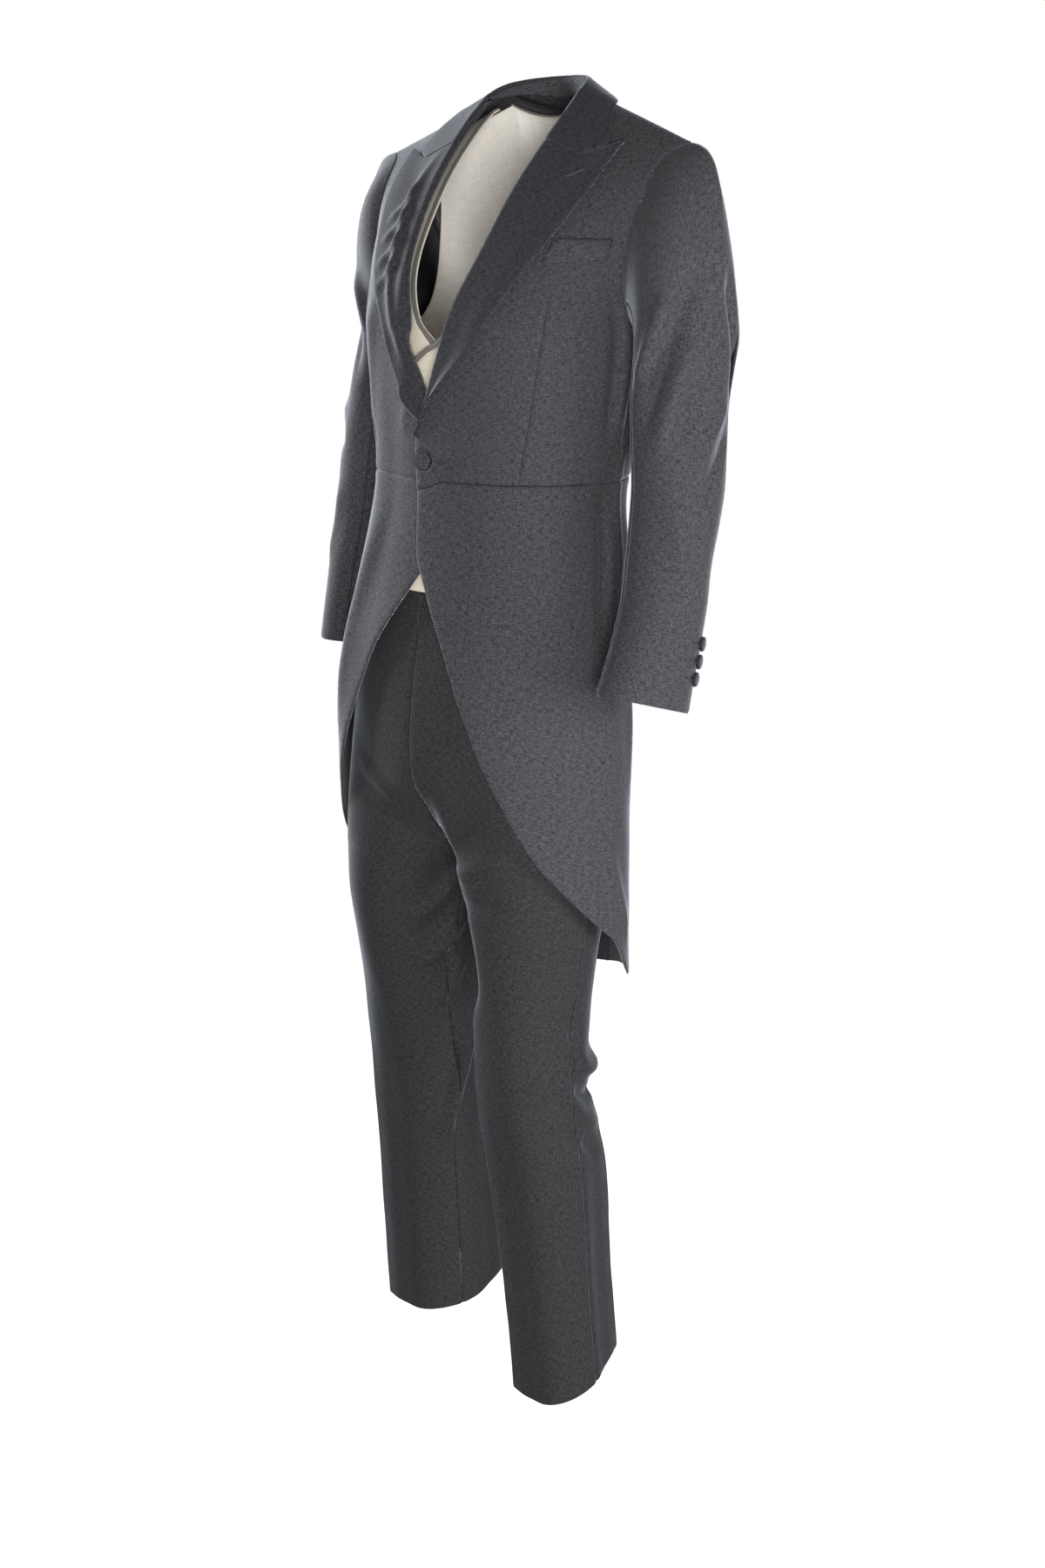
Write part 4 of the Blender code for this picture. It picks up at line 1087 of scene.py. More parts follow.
COAT_WOOL = make_wool("coat_wool", (0.057, 0.056, 0.062), 0.62, 0.60)
# The lapels and the collar are of the coat's cloth; their wool is a darker copy of it, painted shade for
# faces that turn away from the light.
SHADED_FACING_WOOL = make_wool("shaded_lapel_wool", (0.040, 0.0395, 0.045), 0.56, 0.46)
TROUSER_WOOL = make_wool("trouser_wool", (0.033, 0.033, 0.035), 0.56, 0.36)
IVORY = make_ivory("ivory_twill", (0.79, 0.72, 0.59))
IVORY_LINING = make_satin("ivory_lining", (0.84, 0.80, 0.73), 0.42, 500)
PIPING_SATIN = make_satin("grey_satin", (0.165, 0.152, 0.145), 0.50, 700)
COAT_LINING = make_satin("coat_lining", (0.022, 0.022, 0.026), 0.34, 600)
THREAD = make_satin("silk_thread", (0.020, 0.020, 0.024), 0.50, 900)

CHARCOAL = "charcoal_wool"
COAT = Stuff(COAT_WOOL, COAT_LINING, CLOTH, CHARCOAL)
# The breast welt's cut edges show the dark lining: painted shade along the pocket's mouth.
WELT_CLOTH_SHADED_RIM = Stuff(COAT_WOOL, COAT_LINING, CLOTH, CHARCOAL, 1)
FACING = Stuff(SHADED_FACING_WOOL, SHADED_FACING_WOOL, CLOTH, CHARCOAL)
STAND_CLOTH = Stuff(COAT_WOOL, SHADED_FACING_WOOL, CLOTH, CHARCOAL)
WAISTCOAT = Stuff(IVORY, IVORY_LINING, LINING_CLOTH, "ivory_twill")
SATIN = Stuff(PIPING_SATIN, PIPING_SATIN, PIPING, "grey_satin")
TROUSERS = Stuff(TROUSER_WOOL, TROUSER_WOOL, CLOTH, "dark_charcoal_wool")


# Buttons and buttonholes

# A button's outline from its top to its middle below, in shares of its radius and its height.
BUTTON_OUTLINE = ((0, 1.00), (0.35, 0.99), (0.62, 0.965), (0.76, 0.935), (0.83, 0.905), (0.86, 0.88),
                  (0.89, 0.86), (0.94, 0.77), (0.975, 0.63), (1.0, 0.40), (0.985, 0.18), (0.93, 0.05),
                  (0.84, 0.0), (0.5, 0.0), (0, 0.0))
BUTTON_STEPS = 36
BUTTON_PAINTED_SHADE = (0.83, 0.89)          # of its radius, where the shade painted round its rim starts and is whole
STITCH = 0.0006                      # of a buttonhole, along its slit
STITCH_STEPS, HOLE_STEPS = 4, 12     # of the grid along a stitch and across the hole
STITCH_HEIGHT, SLIT_DEPTH = 0.00055, 0.0003


def add_button(name, point, out, diameter, height, node):
    """A button covered with the coat's wool: a low dome drawn in under its rim, with shade painted round the
    rim.
    """
    radius = diameter / 2
    mesh = bmesh.new()
    ring = [mesh.verts.new((share * radius, 0, up * height)) for share, up in BUTTON_OUTLINE]
    edges = [mesh.edges.new(pair) for pair in zip(ring, ring[1:])]
    bmesh.ops.spin(mesh, geom=ring + edges, cent=(0, 0, 0), axis=(0, 0, 1), angle=2 * math.pi,
                   steps=BUTTON_STEPS, use_merge=True)
    bmesh.ops.remove_doubles(mesh, verts=mesh.verts, dist=1e-6)
    bmesh.ops.recalc_face_normals(mesh, faces=mesh.faces)
    lay_grain(mesh, lambda vertex: vertex.co.xy)
    # Painted shade round the rim: the wool's colour darkens there.
    lay_painted_shade(mesh, lambda vertex: ramp(vertex.co.xy.length / radius, *BUTTON_PAINTED_SHADE))
    place = Matrix.Translation(point) @ out.to_track_quat("Z", "Y").to_matrix().to_4x4()
    bmesh.ops.transform(mesh, matrix=place, verts=mesh.verts)
    return add_piece(name, mesh, [COAT_WOOL], CHARCOAL, node)


def add_buttonhole(name, point, out, along, length, width):
    """A worked buttonhole: two rows of close stitches on either side of a slit."""
    stitches = round(length / STITCH)
    sideways = out.cross(along).normalized()
    mesh = bmesh.new()
    bmesh.ops.create_grid(mesh, x_segments=stitches * STITCH_STEPS, y_segments=HOLE_STEPS, size=0.5)
    for vertex in mesh.verts:
        u, v = vertex.co.x + 0.5, vertex.co.y * 2
        stitch = 0.72 + 0.28 * math.cos(2 * math.pi * stitches * u)
        purl = STITCH_HEIGHT * stitch * math.exp(-((abs(v) - 0.42) / 0.30) ** 2)
        slit = SLIT_DEPTH * (math.exp(-(v / 0.16) ** 2) + v ** 6)
        narrow = math.sqrt(min(min(u, 1 - u) / 0.06, 1))
        vertex.co = (point + along * (length * (u - 0.5)) + sideways * (v * width / 2 * narrow)
                     + out * (purl - slit) * max(narrow, 0.3))
    lay_grain(mesh, lambda vertex: vertex.co.xz)
    return add_piece(name, mesh, [THREAD], CHARCOAL)


# The creases of each part of the suit

ARMHOLE_FOLDS = (
    Crease([(70, 1.400), (75, 1.360), (79, 1.320), (83, 1.270), (87, 1.220)], 0.018, -0.0040, 0.2),
    Crease([(78, 1.375), (84, 1.330), (88, 1.290), (89, 1.250), (88, 1.215)], 0.016, 0.0045, -0.2),
    Crease([(90, 1.330), (95, 1.280), (97, 1.240), (98, 1.200)], 0.014, -0.0030, 0.1),
    Crease([(94, 1.250), (97, 1.215), (101, 1.160), (103, 1.110), (99, 1.060)], 0.015, 0.0035),
)
SKIRT_FOLDS = (
    Crease([(88, 1.200), (90, 1.160), (91, 1.120), (89, 1.060), (88, 1.010)], 0.016, -0.0050, -0.2),
    Crease([(110, 1.185), (113, 1.080), (112, 0.960), (112, 0.830)], 0.032, 0.0045, 0.2),
    Crease([(86, 0.830), (93, 0.770), (103, 0.720), (110, 0.680)], 0.016, 0.0035, 0.3),
    Crease([(128, 1.150), (132, 1.000), (133, 0.850), (132, 0.700)], 0.030, -0.0035),
)
LEFT_BODY = ARMHOLE_FOLDS + SKIRT_FOLDS + (
    Crease([(6, 1.222), (20, 1.235), (36, 1.240)], 0.012, 0.0012),
    Crease([(10, 1.270), (22, 1.262), (36, 1.262)], 0.014, -0.0012),
)
RIGHT_BODY = ARMHOLE_FOLDS + SKIRT_FOLDS + (
    Crease([(30, 1.400), (38, 1.340), (44, 1.280), (47, 1.210)], 0.024, 0.0030, 0.2),
    Crease([(52, 1.420), (58, 1.350), (62, 1.280), (64, 1.210)], 0.022, -0.0030),
    Crease([(10, 1.300), (14, 1.265), (18, 1.230)], 0.010, 0.0018),
    Crease([(28, 1.190), (36, 1.100), (40, 0.990), (46, 0.880)], 0.030, 0.0040, 0.2),
)
BODY_FOLDS = {LEFT: LEFT_BODY, RIGHT: RIGHT_BODY}
BACK_FOLDS = (
    Crease([(158, 1.250), (163, 1.215), (171, 1.195)], 0.012, 0.0022),
    Crease([(150, 1.290), (158, 1.262), (168, 1.250)], 0.012, -0.0020, 0.2),
    Crease([(127, 1.430), (140, 1.395), (152, 1.380)], 0.016, 0.0030, 0.2),
    Crease([(123, 1.400), (134, 1.360), (148, 1.335)], 0.016, -0.0028),
    Crease([(165, 1.180), (167, 1.050), (166, 0.900), (166, 0.760)], 0.022, -0.0030),
    Crease([(174, 1.120), (174, 0.950), (174, 0.800), (174, 0.690)], 0.018, 0.0026, 0.3),
)
LAPEL_FOLDS = {
    LEFT: (Crease([(12, 1.300), (19, 1.360), (26, 1.420), (30, 1.480)], 0.026, 0.0016, 0.2),),
    RIGHT: (
        Crease([(19, 1.540), (22.8, 1.500), (22.5, 1.470), (21, 1.430), (19, 1.390), (16, 1.350),
                (10, 1.310)], 0.012, 0.0050, 0.2),
        Crease([(14, 1.430), (12, 1.380), (14, 1.335), (10, 1.295), (4, 1.262)], 0.018, 0.0045, 0.2),
        Crease([(23, 1.498), (25, 1.470), (34, 1.455)], 0.008, 0.0030, 0.2),
        Crease([(20, 1.470), (24.5, 1.449), (33, 1.430)], 0.008, 0.0030, 0.2),
        Crease([(18.5, 1.445), (23.2, 1.423), (31, 1.403)], 0.008, 0.0030, 0.2),
        Crease([(16.7, 1.420), (21.5, 1.396), (29, 1.378)], 0.008, 0.0026, 0.2),
    ),
}
SLEEVE_FOLDS = {
    LEFT: (
        Crease([(16, 1.430), (25, 1.406), (45, 1.364), (62, 1.314), (83, 1.263), (100, 1.235)],
               0.022, -0.0093, 0.25),
        Crease([(50, 1.400), (70, 1.360), (88, 1.320), (108, 1.280)], 0.020, 0.0085, -0.2),
        Crease([(18, 1.360), (34, 1.330), (48, 1.292), (62, 1.250), (78, 1.215)], 0.018, 0.0068, 0.2),
        Crease([(10, 1.330), (24, 1.300), (36, 1.265), (46, 1.230)], 0.016, -0.0051),
        Crease([(-14, 1.420), (-20, 1.385), (-32, 1.345), (-45, 1.300), (-52, 1.262)], 0.013, -0.0076, 0.2),
        Crease([(-30, 1.290), (-12, 1.262), (8, 1.240), (28, 1.200)], 0.018, 0.0051, 0.2),
        Crease([(-40, 1.255), (-20, 1.228), (2, 1.200), (20, 1.165)], 0.015, -0.0051, 0.2),
        Crease([(60, 1.190), (40, 1.150), (20, 1.100), (4, 1.060)], 0.020, 0.0037),
    ),
    RIGHT: (
        Crease([(20, 1.430), (34, 1.395), (50, 1.350), (70, 1.305), (90, 1.270)], 0.022, -0.0061, 0.2),
        Crease([(56, 1.410), (78, 1.370), (100, 1.330), (116, 1.300)], 0.020, 0.0061, -0.2),
        Crease([(-10, 1.300), (12, 1.270), (34, 1.245), (60, 1.225)], 0.018, 0.0047, 0.2),
        Crease([(0, 1.260), (20, 1.232), (44, 1.212), (70, 1.196)], 0.016, -0.0047, 0.2),
        Crease([(70, 1.170), (60, 1.120), (50, 1.060)], 0.022, 0.0030),
    ),
}
UNDER_SLEEVE_FOLDS = (
    Crease([(150, 1.300), (185, 1.275), (220, 1.262), (260, 1.268)], 0.016, 0.0047, 0.2),
    Crease([(160, 1.262), (195, 1.240), (230, 1.232), (270, 1.240)], 0.014, -0.0047),
    Crease([(170, 1.222), (205, 1.205), (245, 1.208), (280, 1.222)], 0.014, 0.0035, 0.2),
    Crease([(280, 1.420), (284, 1.370), (292, 1.310)], 0.016, 0.0047, 0.2),
    Crease([(262, 1.400), (266, 1.350), (276, 1.300)], 0.014, -0.0043, 0.2),
)
CREASE_TURN = {LEFT: -36, RIGHT: 36}       # of the pressed crease down the front of each leg
CREASE_TOPS = (0.70, 0.62)                 # how high the creases go in front and behind
PRESSED_WIDTH, PRESSED_HEIGHT, PRESSED_SHARPNESS = 0.036, 0.0085, 0.9
FLAT_TURN, FLAT_DEPTH = 34, -0.0034        # of the flats on either side of a pressed crease


def pressed(side):
    """The creases pressed down the front and the back of a leg, with the flats beside them."""
    creases = []
    for turn, top in zip((CREASE_TURN[side], CREASE_TURN[side] + 180), CREASE_TOPS):
        for away in (0, FLAT_TURN, -FLAT_TURN):
            path = [(turn + away, -0.25), (turn + away, 0.20), (turn + away, 0.45), (turn + 0.8 * away, top)]
            height, sharp = (FLAT_DEPTH, 0.0) if away else (PRESSED_HEIGHT, PRESSED_SHARPNESS)
            creases.append(Crease(path, PRESSED_WIDTH, height, 0.0, sharp))
    return tuple(creases)


KNEE_FOLDS = {
    LEFT: (
        Crease([(78, 0.578), (96, 0.562), (122, 0.545), (152, 0.546), (176, 0.556)], 0.020, 0.0110, 0.30),
        Crease([(82, 0.540), (104, 0.524), (130, 0.514), (160, 0.518)], 0.013, -0.0060, 0.1),
        Crease([(66, 0.560), (84, 0.536), (104, 0.500), (130, 0.478), (158, 0.474)], 0.018, 0.0036, 0.2),
        Crease([(58, 0.470), (76, 0.490), (92, 0.474), (116, 0.448), (140, 0.440)], 0.014, -0.0030),
        Crease([(80, 0.650), (84, 0.612), (92, 0.586), (108, 0.566)], 0.014, -0.0050, 0.2),
        Crease([(36, 0.530), (54, 0.552), (74, 0.566), (92, 0.572)], 0.014, 0.0026),
        Crease([(30, 0.505), (50, 0.520), (72, 0.530), (88, 0.532)], 0.012, -0.0022),
        Crease([(66, 0.430), (78, 0.452), (92, 0.470), (104, 0.484)], 0.012, 0.0026),
    ),
    RIGHT: (
        Crease([(100, 0.560), (128, 0.545), (156, 0.545), (184, 0.556)], 0.018, 0.0060, 0.2),
        Crease([(104, 0.528), (132, 0.516), (160, 0.516), (186, 0.526)], 0.014, -0.0050),
        Crease([(108, 0.500), (134, 0.486), (164, 0.488)], 0.014, 0.0038, 0.2),
        Crease([(-96, 0.560), (-84, 0.520), (-72, 0.475), (-62, 0.420), (-58, 0.370)], 0.015, 0.0095, 0.3),
        Crease([(-74, 0.540), (-64, 0.500), (-58, 0.455), (-54, 0.410)], 0.012, -0.0036),
        Crease([(-92, 0.748), (-74, 0.722), (-56, 0.700), (-34, 0.690)], 0.011, 0.0080, 0.3),
        Crease([(-90, 0.716), (-74, 0.694), (-58, 0.676), (-38, 0.668)], 0.010, -0.0060),
        Crease([(-90, 0.690), (-76, 0.664), (-60, 0.640), (-40, 0.628)], 0.012, 0.0080, 0.3),
        Crease([(-90, 0.640), (-78, 0.612), (-66, 0.588), (-50, 0.572)], 0.012, 0.0064, 0.2),
    ),
}
SEAT_FOLDS = (
    Crease([(110, 0.800), (140, 0.770), (175, 0.750), (215, 0.752)], 0.024, 0.0040, 0.2),
    Crease([(120, 0.755), (150, 0.728), (185, 0.712), (225, 0.716)], 0.020, -0.0035),
    Crease([(-90, 0.880), (-89, 0.840), (-86, 0.800), (-80, 0.750), (-70, 0.700)], 0.036, -0.0095),
)
FORK_FOLDS = {
    LEFT: (
        Crease([(-66, 0.900), (-62, 0.850), (-54, 0.790), (-44, 0.730), (-40, 0.660)], 0.026, 0.0030),
        Crease([(-84, 0.810), (-66, 0.765), (-52, 0.720), (-47, 0.670), (-46, 0.600)], 0.046, -0.0170),
        Crease([(-30, 0.760), (-8, 0.785), (14, 0.800), (34, 0.808)], 0.014, 0.0036, 0.2),
        Crease([(-36, 0.725), (-12, 0.742), (12, 0.750), (32, 0.752)], 0.016, -0.0040),
    ),
    RIGHT: (
        Crease([(-58, 0.880), (-62, 0.830), (-64, 0.770), (-62, 0.710), (-60, 0.660)], 0.036, -0.0070),
        Crease([(-74, 0.820), (-50, 0.850), (-24, 0.866), (0, 0.870)], 0.020, 0.0030),
        Crease([(-66, 0.790), (-40, 0.812), (-14, 0.826), (10, 0.828)], 0.018, -0.0034),
        Crease([(-80, 0.745), (-60, 0.770), (-40, 0.780), (-16, 0.784)], 0.017, 0.0030),
    ),
}
WAISTCOAT_FOLDS = (
    Crease([(8, 1.300), (20, 1.280), (36, 1.275)], 0.014, 0.0010),
)

# Details of the front and the cuffs
DART = (Edge(WAIST_SEAM, 42.6), Edge(1.277, 43.5), Edge(1.330, 44.1), Edge(1.390, 44.4))
DART_FADE = 0.012          # over which its top end fades out
FRONT_BUTTON = Edge(1.211, -0.4)
FRONT_BUTTON_SIZE = (0.0215, 0.0050)       # its diameter and its height
FRONT_BUTTON_LIFT, CUFF_BUTTON_LIFT, HOLE_LIFT = 0.0036, 0.0014, 0.0009
BUTTON_LEAN = 16           # degrees the front button has turned on its shank
CUFF_BUTTON_SIZE = (0.0155, 0.0042)
CUFF_BUTTON_HEIGHTS = (1.042, 1.025, 1.008)
CUFF_BUTTON_TURN = -28
CUFF_HOLE = 0.076          # how much further round the sleeve's panel its middle is
CUFF_HOLE_SIZE = (0.012, 0.0026)           # its length and its width
WELT = (Edge(1.4165, 36.4), Edge(1.427, 62.5), Edge(1.452, 60.9), Edge(1.4435, 38.8))
WELT_LEVELS = (1.419, 1.441)               # its foot and its mouth
FRONT_HOLE, FRONT_HOLE_WIDTH = (Edge(1.211, 3.0), Edge(1.211, 7.6)), 0.0030
LAPEL_HOLE, LAPEL_HOLE_WIDTH = (Edge(1.502, 31.0), Edge(1.514, 35.6)), 0.0026
LAPEL_HOLE_LIFT = LAPEL_LIFT + 0.8 * LAPEL_STAND + 0.0006      # where the lapel doesn't stand off fully
FRONT_RELIEF = Relief(LEFT_BODY)


def forepart_knots(t):
    """The roll line, the dart and the side seam, on the way across the forepart."""
    (first, _), (last, level) = forepart(0, t), forepart(1, t)
    dart = smooth_table(DART, level).angle
    return [0, min(max((dart - first) / (last - first), 0.15), 0.85), 1]


def forepart_dips(t):
    """The dips there: the dart's ends below the chest, and above the side seam is the armhole."""
    level = forepart(0.5, t)[1]
    dart = DART_DIP * ramp(level, DART[-1].height, DART[-1].height - DART_FADE)
    return EDGE_DIP, dart, SEAM_DIP if level < SIDE_SEAM[1].height else ARMHOLE_DIP


def lapel_stand(s, t):
    """How much further than its roll line the lapel stands off the chest: most at its outer edge,
    and less towards its ends and its peak."""
    peak = ramp(s, lapel_share(NOTCH.angle), 1)
    top = (1 - 0.4 * peak) * ramp(t, 0.86, 1) * (1 - 0.6 * peak)
    return LAPEL_STAND * ramp(s, 0.35, 1) * ramp(t, 0, 0.12) * (1 - top)


def collar_stands(s, t):
    """How much further its outer edge stands off the shoulders, flush with the lapels at the gorge."""
    return COLLAR_STANDS * ramp(s, 0.3, 1) * ramp(min(t, 1 - t), 0, 0.10)


def edge_past(notch):
    """The dip along an end that is sewn down as far as the notch and free beyond it."""
    return lambda s: EDGE_DIP * ramp(s, notch - 0.02, notch + 0.02)


def build_coat(side, word):
    """One side of the coat. The right front lies lower than the left one, under it."""
    lower = 0 if side == LEFT else 1
    folds = BODY_FOLDS[side]
    body = Relief(folds + BACK_FOLDS, seed=1 + lower)
    sleeve_relief = Relief(SLEEVE_FOLDS[side], SLEEVE_SCALE, 5 + lower)

    def front_lift(angle, level):
        return right_underlap(angle, level, UNDERLAP) * lower

    def lapel_lift(angle, level):
        return LAPEL_LIFT + front_lift(angle, level)

    def add(part, surface, layout, relief, stuff=COAT):
        return add_cloth(f"{word}_{part}", f"coat_{word}_{part}", surface, layout, stuff, relief, side)
    add("forepart", bare_torso(right_forepart if lower else forepart, front_lift),
        Layout((24, 30), 84, forepart_knots, forepart_dips), Relief(folds, seed=1 + lower))
    add("side_body", bare_torso(side_body), Layout((26,), 40), body)
    add("back", bare_torso(back), Layout((34,), 180, ends=(EDGE_DIP, SEAM_DIP)), body)
    add("skirt", bare_torso(skirt, front_lift),
        Layout((84,), 110, dips=(EDGE_DIP, SEAM_DIP), ends=(EDGE_DIP, SEAM_DIP)), body)
    rolled_lapel = rolled_start(on_torso(right_lapel if lower else lapel, lapel_lift), LAPEL_ROLL)
    add("lapel", stood_off(rolled_lapel, lapel_stand),
        Layout((28,), 96, dips=(0, EDGE_DIP), ends=(EDGE_DIP, edge_past(lapel_share(NOTCH.angle)))),
        Relief(folds + LAPEL_FOLDS[side], seed=3 + lower), FACING)
    cloth = add("top_sleeve", bare_spots(sleeve(side, *TOP_TURNS), *TOP_TURNS),
                Layout((44,), 150, ends=(ARMHOLE_DIP, EDGE_DIP)), sleeve_relief)
    add("under_sleeve", bare_spots(sleeve(side, *UNDER_TURNS), *UNDER_TURNS),
        Layout((40,), 130, ends=(ARMHOLE_DIP, EDGE_DIP)),
        Relief(UNDER_SLEEVE_FOLDS, SLEEVE_SCALE, 5 + lower))
    add_cuff_buttons(side, word, cloth, sleeve_relief)


def add_cuff_buttons(side, word, cloth, relief):
    """The covered buttons up the cuff and the worked hole beside each, on the top sleeve's cloth."""
    top = with_spots(sleeve(side, *TOP_TURNS))
    underarm, cuff = SLEEVES[side][-1].height, SLEEVES[side][0].height
    across = (CUFF_BUTTON_TURN - HINDARM_TURN) / (FOREARM_TURN - HINDARM_TURN)
    for number, height in enumerate(CUFF_BUTTON_HEIGHTS, 1):
        down = blend(SLEEVE_CAP_SHARE, 1, (underarm - height) / (underarm - cuff))
        point, out = on_cloth(top(across, down), relief, CUFF_BUTTON_LIFT)
        ahead, ahead_out = on_cloth(top(across + CUFF_HOLE, down), relief, HOLE_LIFT)
        along = flat_way(ahead - point, ahead_out)
        button = add_button(f"{word}_cuff_button_{number}", mirrored(point, side), mirrored(out, side),
                            *CUFF_BUTTON_SIZE, f"coat_{word}_cuff_button_{number}")
        hole = add_buttonhole(f"{word}_cuff_buttonhole_{number}", mirrored(ahead, side),
                              mirrored(ahead_out, side), mirrored(along, side), *CUFF_HOLE_SIZE)
        TRIMS.setdefault(cloth, []).extend((button, hole))


def build_waistcoat(side, word):
    """One front of the waistcoat and the piping along its V."""
    lower = 0 if side == LEFT else 1

    def front_lift(angle, level):
        return WAISTCOAT_LIFT + right_underlap(angle, level, WAISTCOAT_LIFT - WAISTCOAT_UNDERLAP) * lower

    def piping_lift(angle, level):
        return front_lift(angle, level) + PIPING_LIFT
    front = add_cloth(f"{word}_waistcoat_front", f"waistcoat_{word}_front",
                      on_torso(waistcoat_front, front_lift),
                      Layout((4, 30), 90, (0, PIPING_SHARE, 1), (EDGE_DIP / 2, PIPING_SEAM_DIP, SEAM_DIP),
                             (EDGE_DIP, SEAM_DIP)),
                      WAISTCOAT, Relief(WAISTCOAT_FOLDS, seed=7 + lower, wave=0.0004), side)
    add_cloth(f"{word}_neck_piping", f"waistcoat_{word}_piping", on_torso(waistcoat_piping, piping_lift),
              Layout((3,), 60, dips=(PIPING_DIP, PIPING_DIP)), SATIN, Relief((), seed=7 + lower, wave=0.0004),
              side, trims=front)


def build_trousers(side, word):
    """One leg's two panels, with closer columns at the pressed crease, and its half of the waistband."""
    folds = pressed(side) + KNEE_FOLDS[side] + SEAT_FOLDS + FORK_FOLDS[side]
    seed = 9 if side == LEFT else 10
    for part, first in (("front", -90), ("back", 90)):
        def crease_at(t, first=first):
            start, end = leg_turns(side, first, t)
            return [0, (CREASE_TURN[side] + first + 90 - start) / (end - start), 1]
        add_cloth(f"{word}_trouser_{part}", f"trouser_{word}_{part}", trouser_leg(side, first),
                  Layout((24, 24), 190, crease_at, (SEAM_DIP, 0, SEAM_DIP), (TROUSER_HEM_DIP, SEAM_DIP)),
                  TROUSERS, Relief(folds, LEG_SCALE, seed), side)
    add_cloth(f"{word}_waistband", f"trouser_{word}_waistband", with_spots(waistband, 0, 180),
              Layout((50,), 8, ends=(SEAM_DIP, EDGE_DIP)), TROUSERS, Relief((), seed=seed, wave=0.0003), side)


def build_collar():
    """The fall, sewn to the lapels up to the notches, and the stand inside it."""
    end = edge_past(lapel_share(NOTCH.angle) / lapel_share(COLLAR_CORNER_ANGLE))
    add_cloth("collar_fall", "coat_collar_fall",
              stood_off(rolled_start(with_spots(collar_fall), COLLAR_ROLL), collar_stands),
              Layout((22,), 150, dips=(0, EDGE_DIP), ends=(end, end)), FACING,
              Relief((), seed=11, wave=0.0004))
    add_cloth("collar_stand", "coat_collar_stand", with_spots(collar_stand),
              Layout((100,), 10, dips=(EDGE_DIP, EDGE_DIP)), STAND_CLOTH, Relief((), seed=12, wave=0.0002))


def welt(s, t):
    """The breast welt, from its lower front corner."""
    front_foot, back_foot, back_mouth, front_mouth = (np.array((edge.angle, edge.height)) for edge in WELT)
    angle, level = blend(blend(front_foot, back_foot, s), blend(front_mouth, back_mouth, s), t)
    return float(angle), float(level)


def welt_lift(angle, level):
    """The welt is sewn down at its foot and stands away at its mouth."""
    return blend(WELT_LIFT, WELT_MOUTH, ramp(level, *WELT_LEVELS))


def build_welt():
    # Its cut edges show the dark lining as painted shade along the pocket's mouth.
    add_cloth("breast_welt", "coat_chest_welt", on_torso(welt, welt_lift),
              Layout((24,), 10, ends=(DART_DIP, SEAM_DIP)), WELT_CLOTH_SHADED_RIM, FRONT_RELIEF)


def build_waistcoat_back():
    """The back panel, with closer columns under the piping round its neck."""
    neck = waistcoat_back_neck()
    panel = add_cloth("waistcoat_back_panel", "waistcoat_back", on_torso(waistcoat_back, WAISTCOAT_LIFT),
                      Layout((16, 22, 16), 90, (0, neck, 1 - neck, 1), (SEAM_DIP, 0, 0, SEAM_DIP)), WAISTCOAT,
                      Relief((), seed=14, wave=0.0005))
    add_cloth("back_neck_piping", "waistcoat_back_piping",
              on_torso(back_neck_piping, WAISTCOAT_LIFT + PIPING_LIFT),
              Layout((30,), 4, dips=(PIPING_DIP, PIPING_DIP), ends=(PIPING_DIP, PIPING_DIP)), SATIN,
              Relief((), seed=14, wave=0.0003), trims=panel)


def on_front(angle, level, lift):
    """A place on the left front's creased cloth, lifted off it, and the way out there."""
    return on_cloth(Spot(torso(angle, level), torso_normal(angle, level), angle, level), FRONT_RELIEF, lift)


def add_front_button():
    point, out = on_front(FRONT_BUTTON.angle, FRONT_BUTTON.height, FRONT_BUTTON_LIFT)
    lean = Matrix.Rotation(math.radians(BUTTON_LEAN), 3, "Z")
    add_button("front_button", point, lean @ out, *FRONT_BUTTON_SIZE, "coat_front_button")


def add_front_hole(name, start, end, lift, width):
    """A worked buttonhole on the left front, from one place to another."""
    middle, out = on_front((start.angle + end.angle) / 2, (start.height + end.height) / 2, lift)
    way = torso(end.angle, end.height) - torso(start.angle, start.height)
    add_buttonhole(name, middle, out, flat_way(way, out), way.length, width)


for hand, hand_word in ((LEFT, "left"), (RIGHT, "right")):
    build_coat(hand, hand_word)
    build_waistcoat(hand, hand_word)
    build_trousers(hand, hand_word)
build_collar()
build_welt()
build_waistcoat_back()
add_front_button()
add_front_hole("front_buttonhole", *FRONT_HOLE, HOLE_LIFT, FRONT_HOLE_WIDTH)
add_front_hole("left_lapel_buttonhole", *LAPEL_HOLE, LAPEL_HOLE_LIFT, LAPEL_HOLE_WIDTH)


# The studio

CAMERA_TURN, CAMERA_TILT = 43.0, 15.0        # degrees round from the wearer's front, and down
CAMERA_DISTANCE, CAMERA_HEIGHT = 2.30, 1.45  # from the wearer's middle, and above the floor
LENS, SENSOR = 48.0, 36.0                    # in millimetres; the sensor is as high as that
FLOOR_RADIUS = 3.0                           # where the floor has turned white
WORLD_SEEN, WORLD_LIGHT = 1.0, 0.24          # how bright the studio is to the camera and to the cloth

# Soft boxes at a turn round the suit and a distance, pointed at its axis at the height aim.
Lamp = namedtuple("Lamp", "name turn distance height width length watts aim colour", defaults=((1, 1, 1),))
LAMPS = (
    Lamp("left_side", -84, 2.3, 1.85, 0.9, 0.9, 105, 1.35, (0.95, 0.98, 1.0)),
    Lamp("right_side", 108, 2.2, 1.00, 0.9, 1.2, 34, 1.0, (0.96, 0.98, 1.0)),
    Lamp("front", 44, 3.0, 0.95, 1.2, 1.0, 84, 0.95),
    Lamp("backdrop", 223, 3.0, 1.4, 3.4, 2.0, 32, 1.1, (0.96, 0.98, 1.0)),
)


def round_the_suit(turn, distance, height):
    """A place in the studio, by degrees round from the wearer's front."""
    radians = math.radians(turn)
    return Vector((distance * math.sin(radians), -distance * math.cos(radians), height - ORIGIN_HEIGHT))


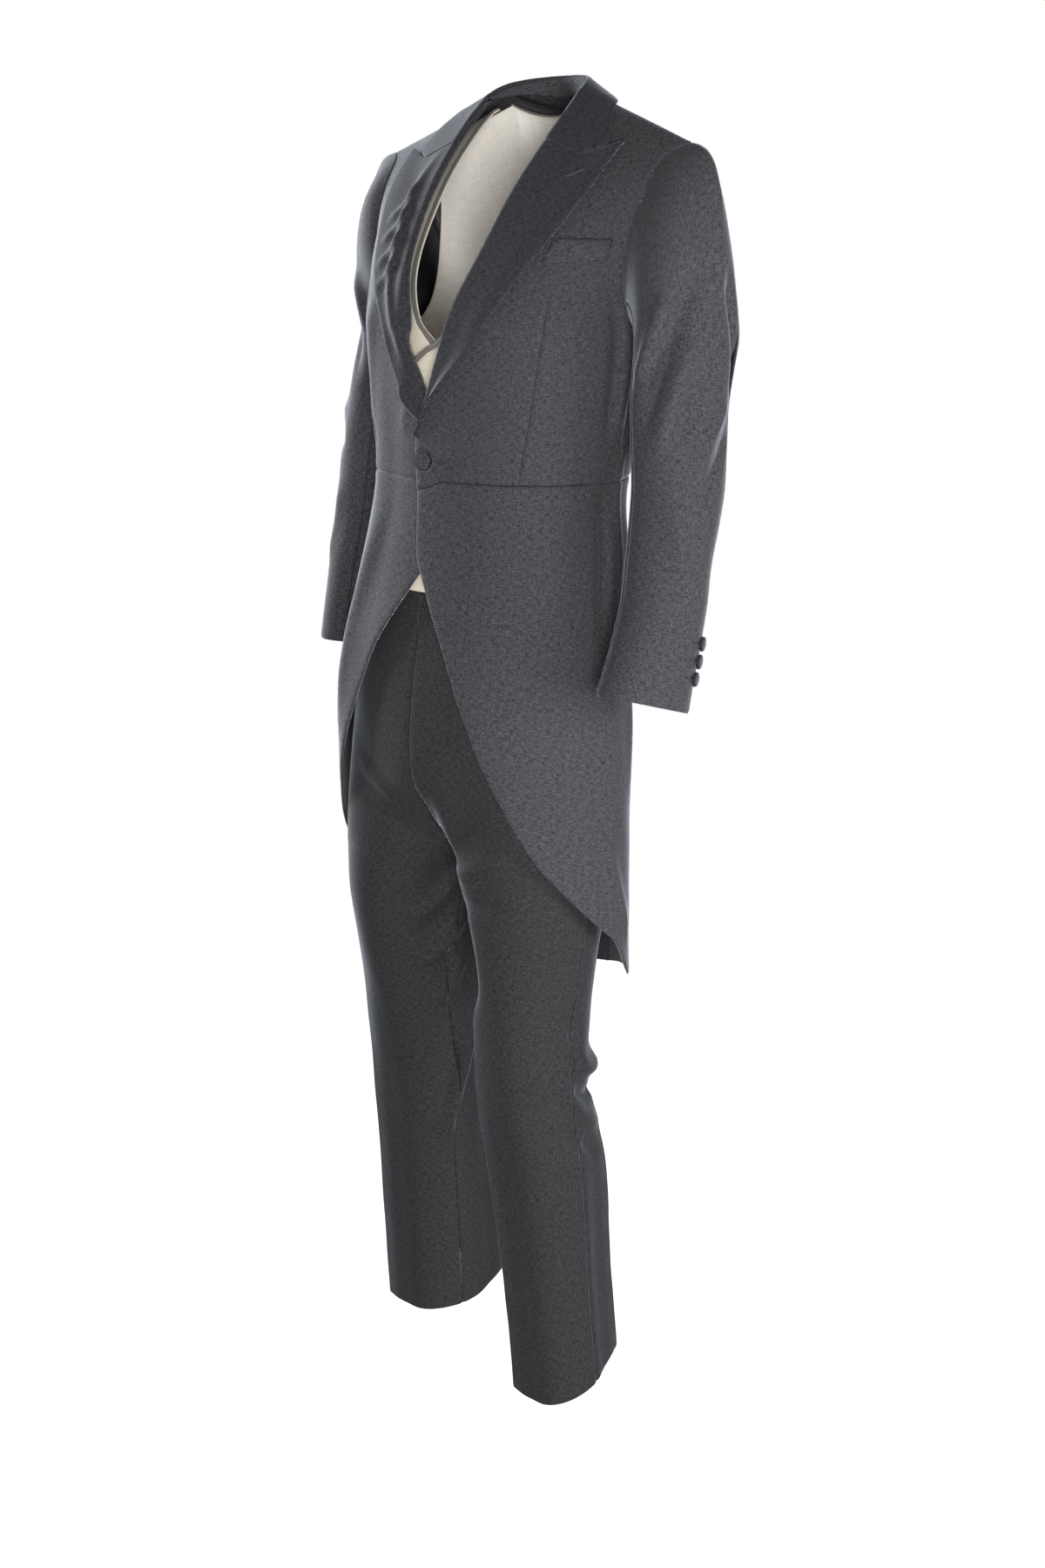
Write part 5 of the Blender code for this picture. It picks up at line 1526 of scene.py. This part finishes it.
def add_lamp(lamp):
    data = bpy.data.lights.new(lamp.name, "AREA")
    data.shape = "RECTANGLE"
    data.size, data.size_y = lamp.width, lamp.length
    data.energy, data.color = lamp.watts, lamp.colour
    item = bpy.data.objects.new(lamp.name, data)
    item.location = round_the_suit(lamp.turn, lamp.distance, lamp.height)
    item.rotation_euler = (round_the_suit(0, 0, lamp.aim) - item.location).to_track_quat("-Z", "Y").to_euler()
    item.visible_camera = False
    bpy.context.scene.collection.objects.link(item)


def add_floor():
    """A plain pale floor round the suit, which turns as white as the studio further out."""
    mesh = bmesh.new()
    bmesh.ops.create_circle(mesh, cap_ends=True, segments=64, radius=3 * FLOOR_RADIUS)
    data = bpy.data.meshes.new("floor")
    mesh.to_mesh(data)
    mesh.free()
    paint = Finish("floor_paint", Roughness=0.9, Specular_IOR_Level=0.0, Emission_Strength=1.0)
    place = paint.node("ShaderNodeTexCoord", output="Object")
    outwards = paint.node("ShaderNodeMapping", None, {"Vector": place, "Scale": (1 / FLOOR_RADIUS,) * 3})
    distance = paint.node("ShaderNodeVectorMath", {"operation": "LENGTH"}, {0: outwards}, "Value")
    far = Value(paint, distance).clamped()
    paint.set(Base_Color=paint.mix((0.40, 0.40, 0.41, 1), (0, 0, 0, 1), far),
              Emission_Color=paint.mix((0.80, 0.80, 0.80, 1), (1, 1, 1, 1), far))
    data.materials.append(paint.material)
    floor = bpy.data.objects.new("floor", data)
    floor.location.z = -ORIGIN_HEIGHT
    floor.visible_diffuse = floor.visible_glossy = False
    bpy.context.scene.collection.objects.link(floor)


def light_world():
    """White all round, brighter to the camera than as light on the cloth."""
    world = bpy.data.worlds.new("white_studio")
    world.use_nodes = True
    studio = Nodes(world.node_tree)
    lit, seen = (studio.node("ShaderNodeBackground", None, {"Color": (1, 1, 1, 1), "Strength": strength})
                 for strength in (WORLD_LIGHT, WORLD_SEEN))
    by_camera = studio.node("ShaderNodeLightPath", output="Is Camera Ray")
    both = studio.node("ShaderNodeMixShader", None, {0: by_camera, 1: lit, 2: seen})
    studio.feed(studio.tree.nodes["World Output"].inputs["Surface"], both)
    studio.tree.nodes.remove(studio.tree.nodes["Background"])
    bpy.context.scene.world = world


def add_camera():
    view = bpy.data.cameras.new("camera")
    view.sensor_fit = "VERTICAL"
    view.sensor_height, view.lens = SENSOR, LENS
    camera = bpy.data.objects.new("camera", view)
    camera.location = round_the_suit(CAMERA_TURN, CAMERA_DISTANCE, CAMERA_HEIGHT)
    camera.rotation_euler = (math.radians(90 - CAMERA_TILT), 0, math.radians(CAMERA_TURN))
    bpy.context.scene.collection.objects.link(camera)
    bpy.context.scene.camera = camera


add_floor()
light_world()
for box in LAMPS:
    add_lamp(box)
add_camera()
bpy.context.scene.view_settings.view_transform = "Standard"
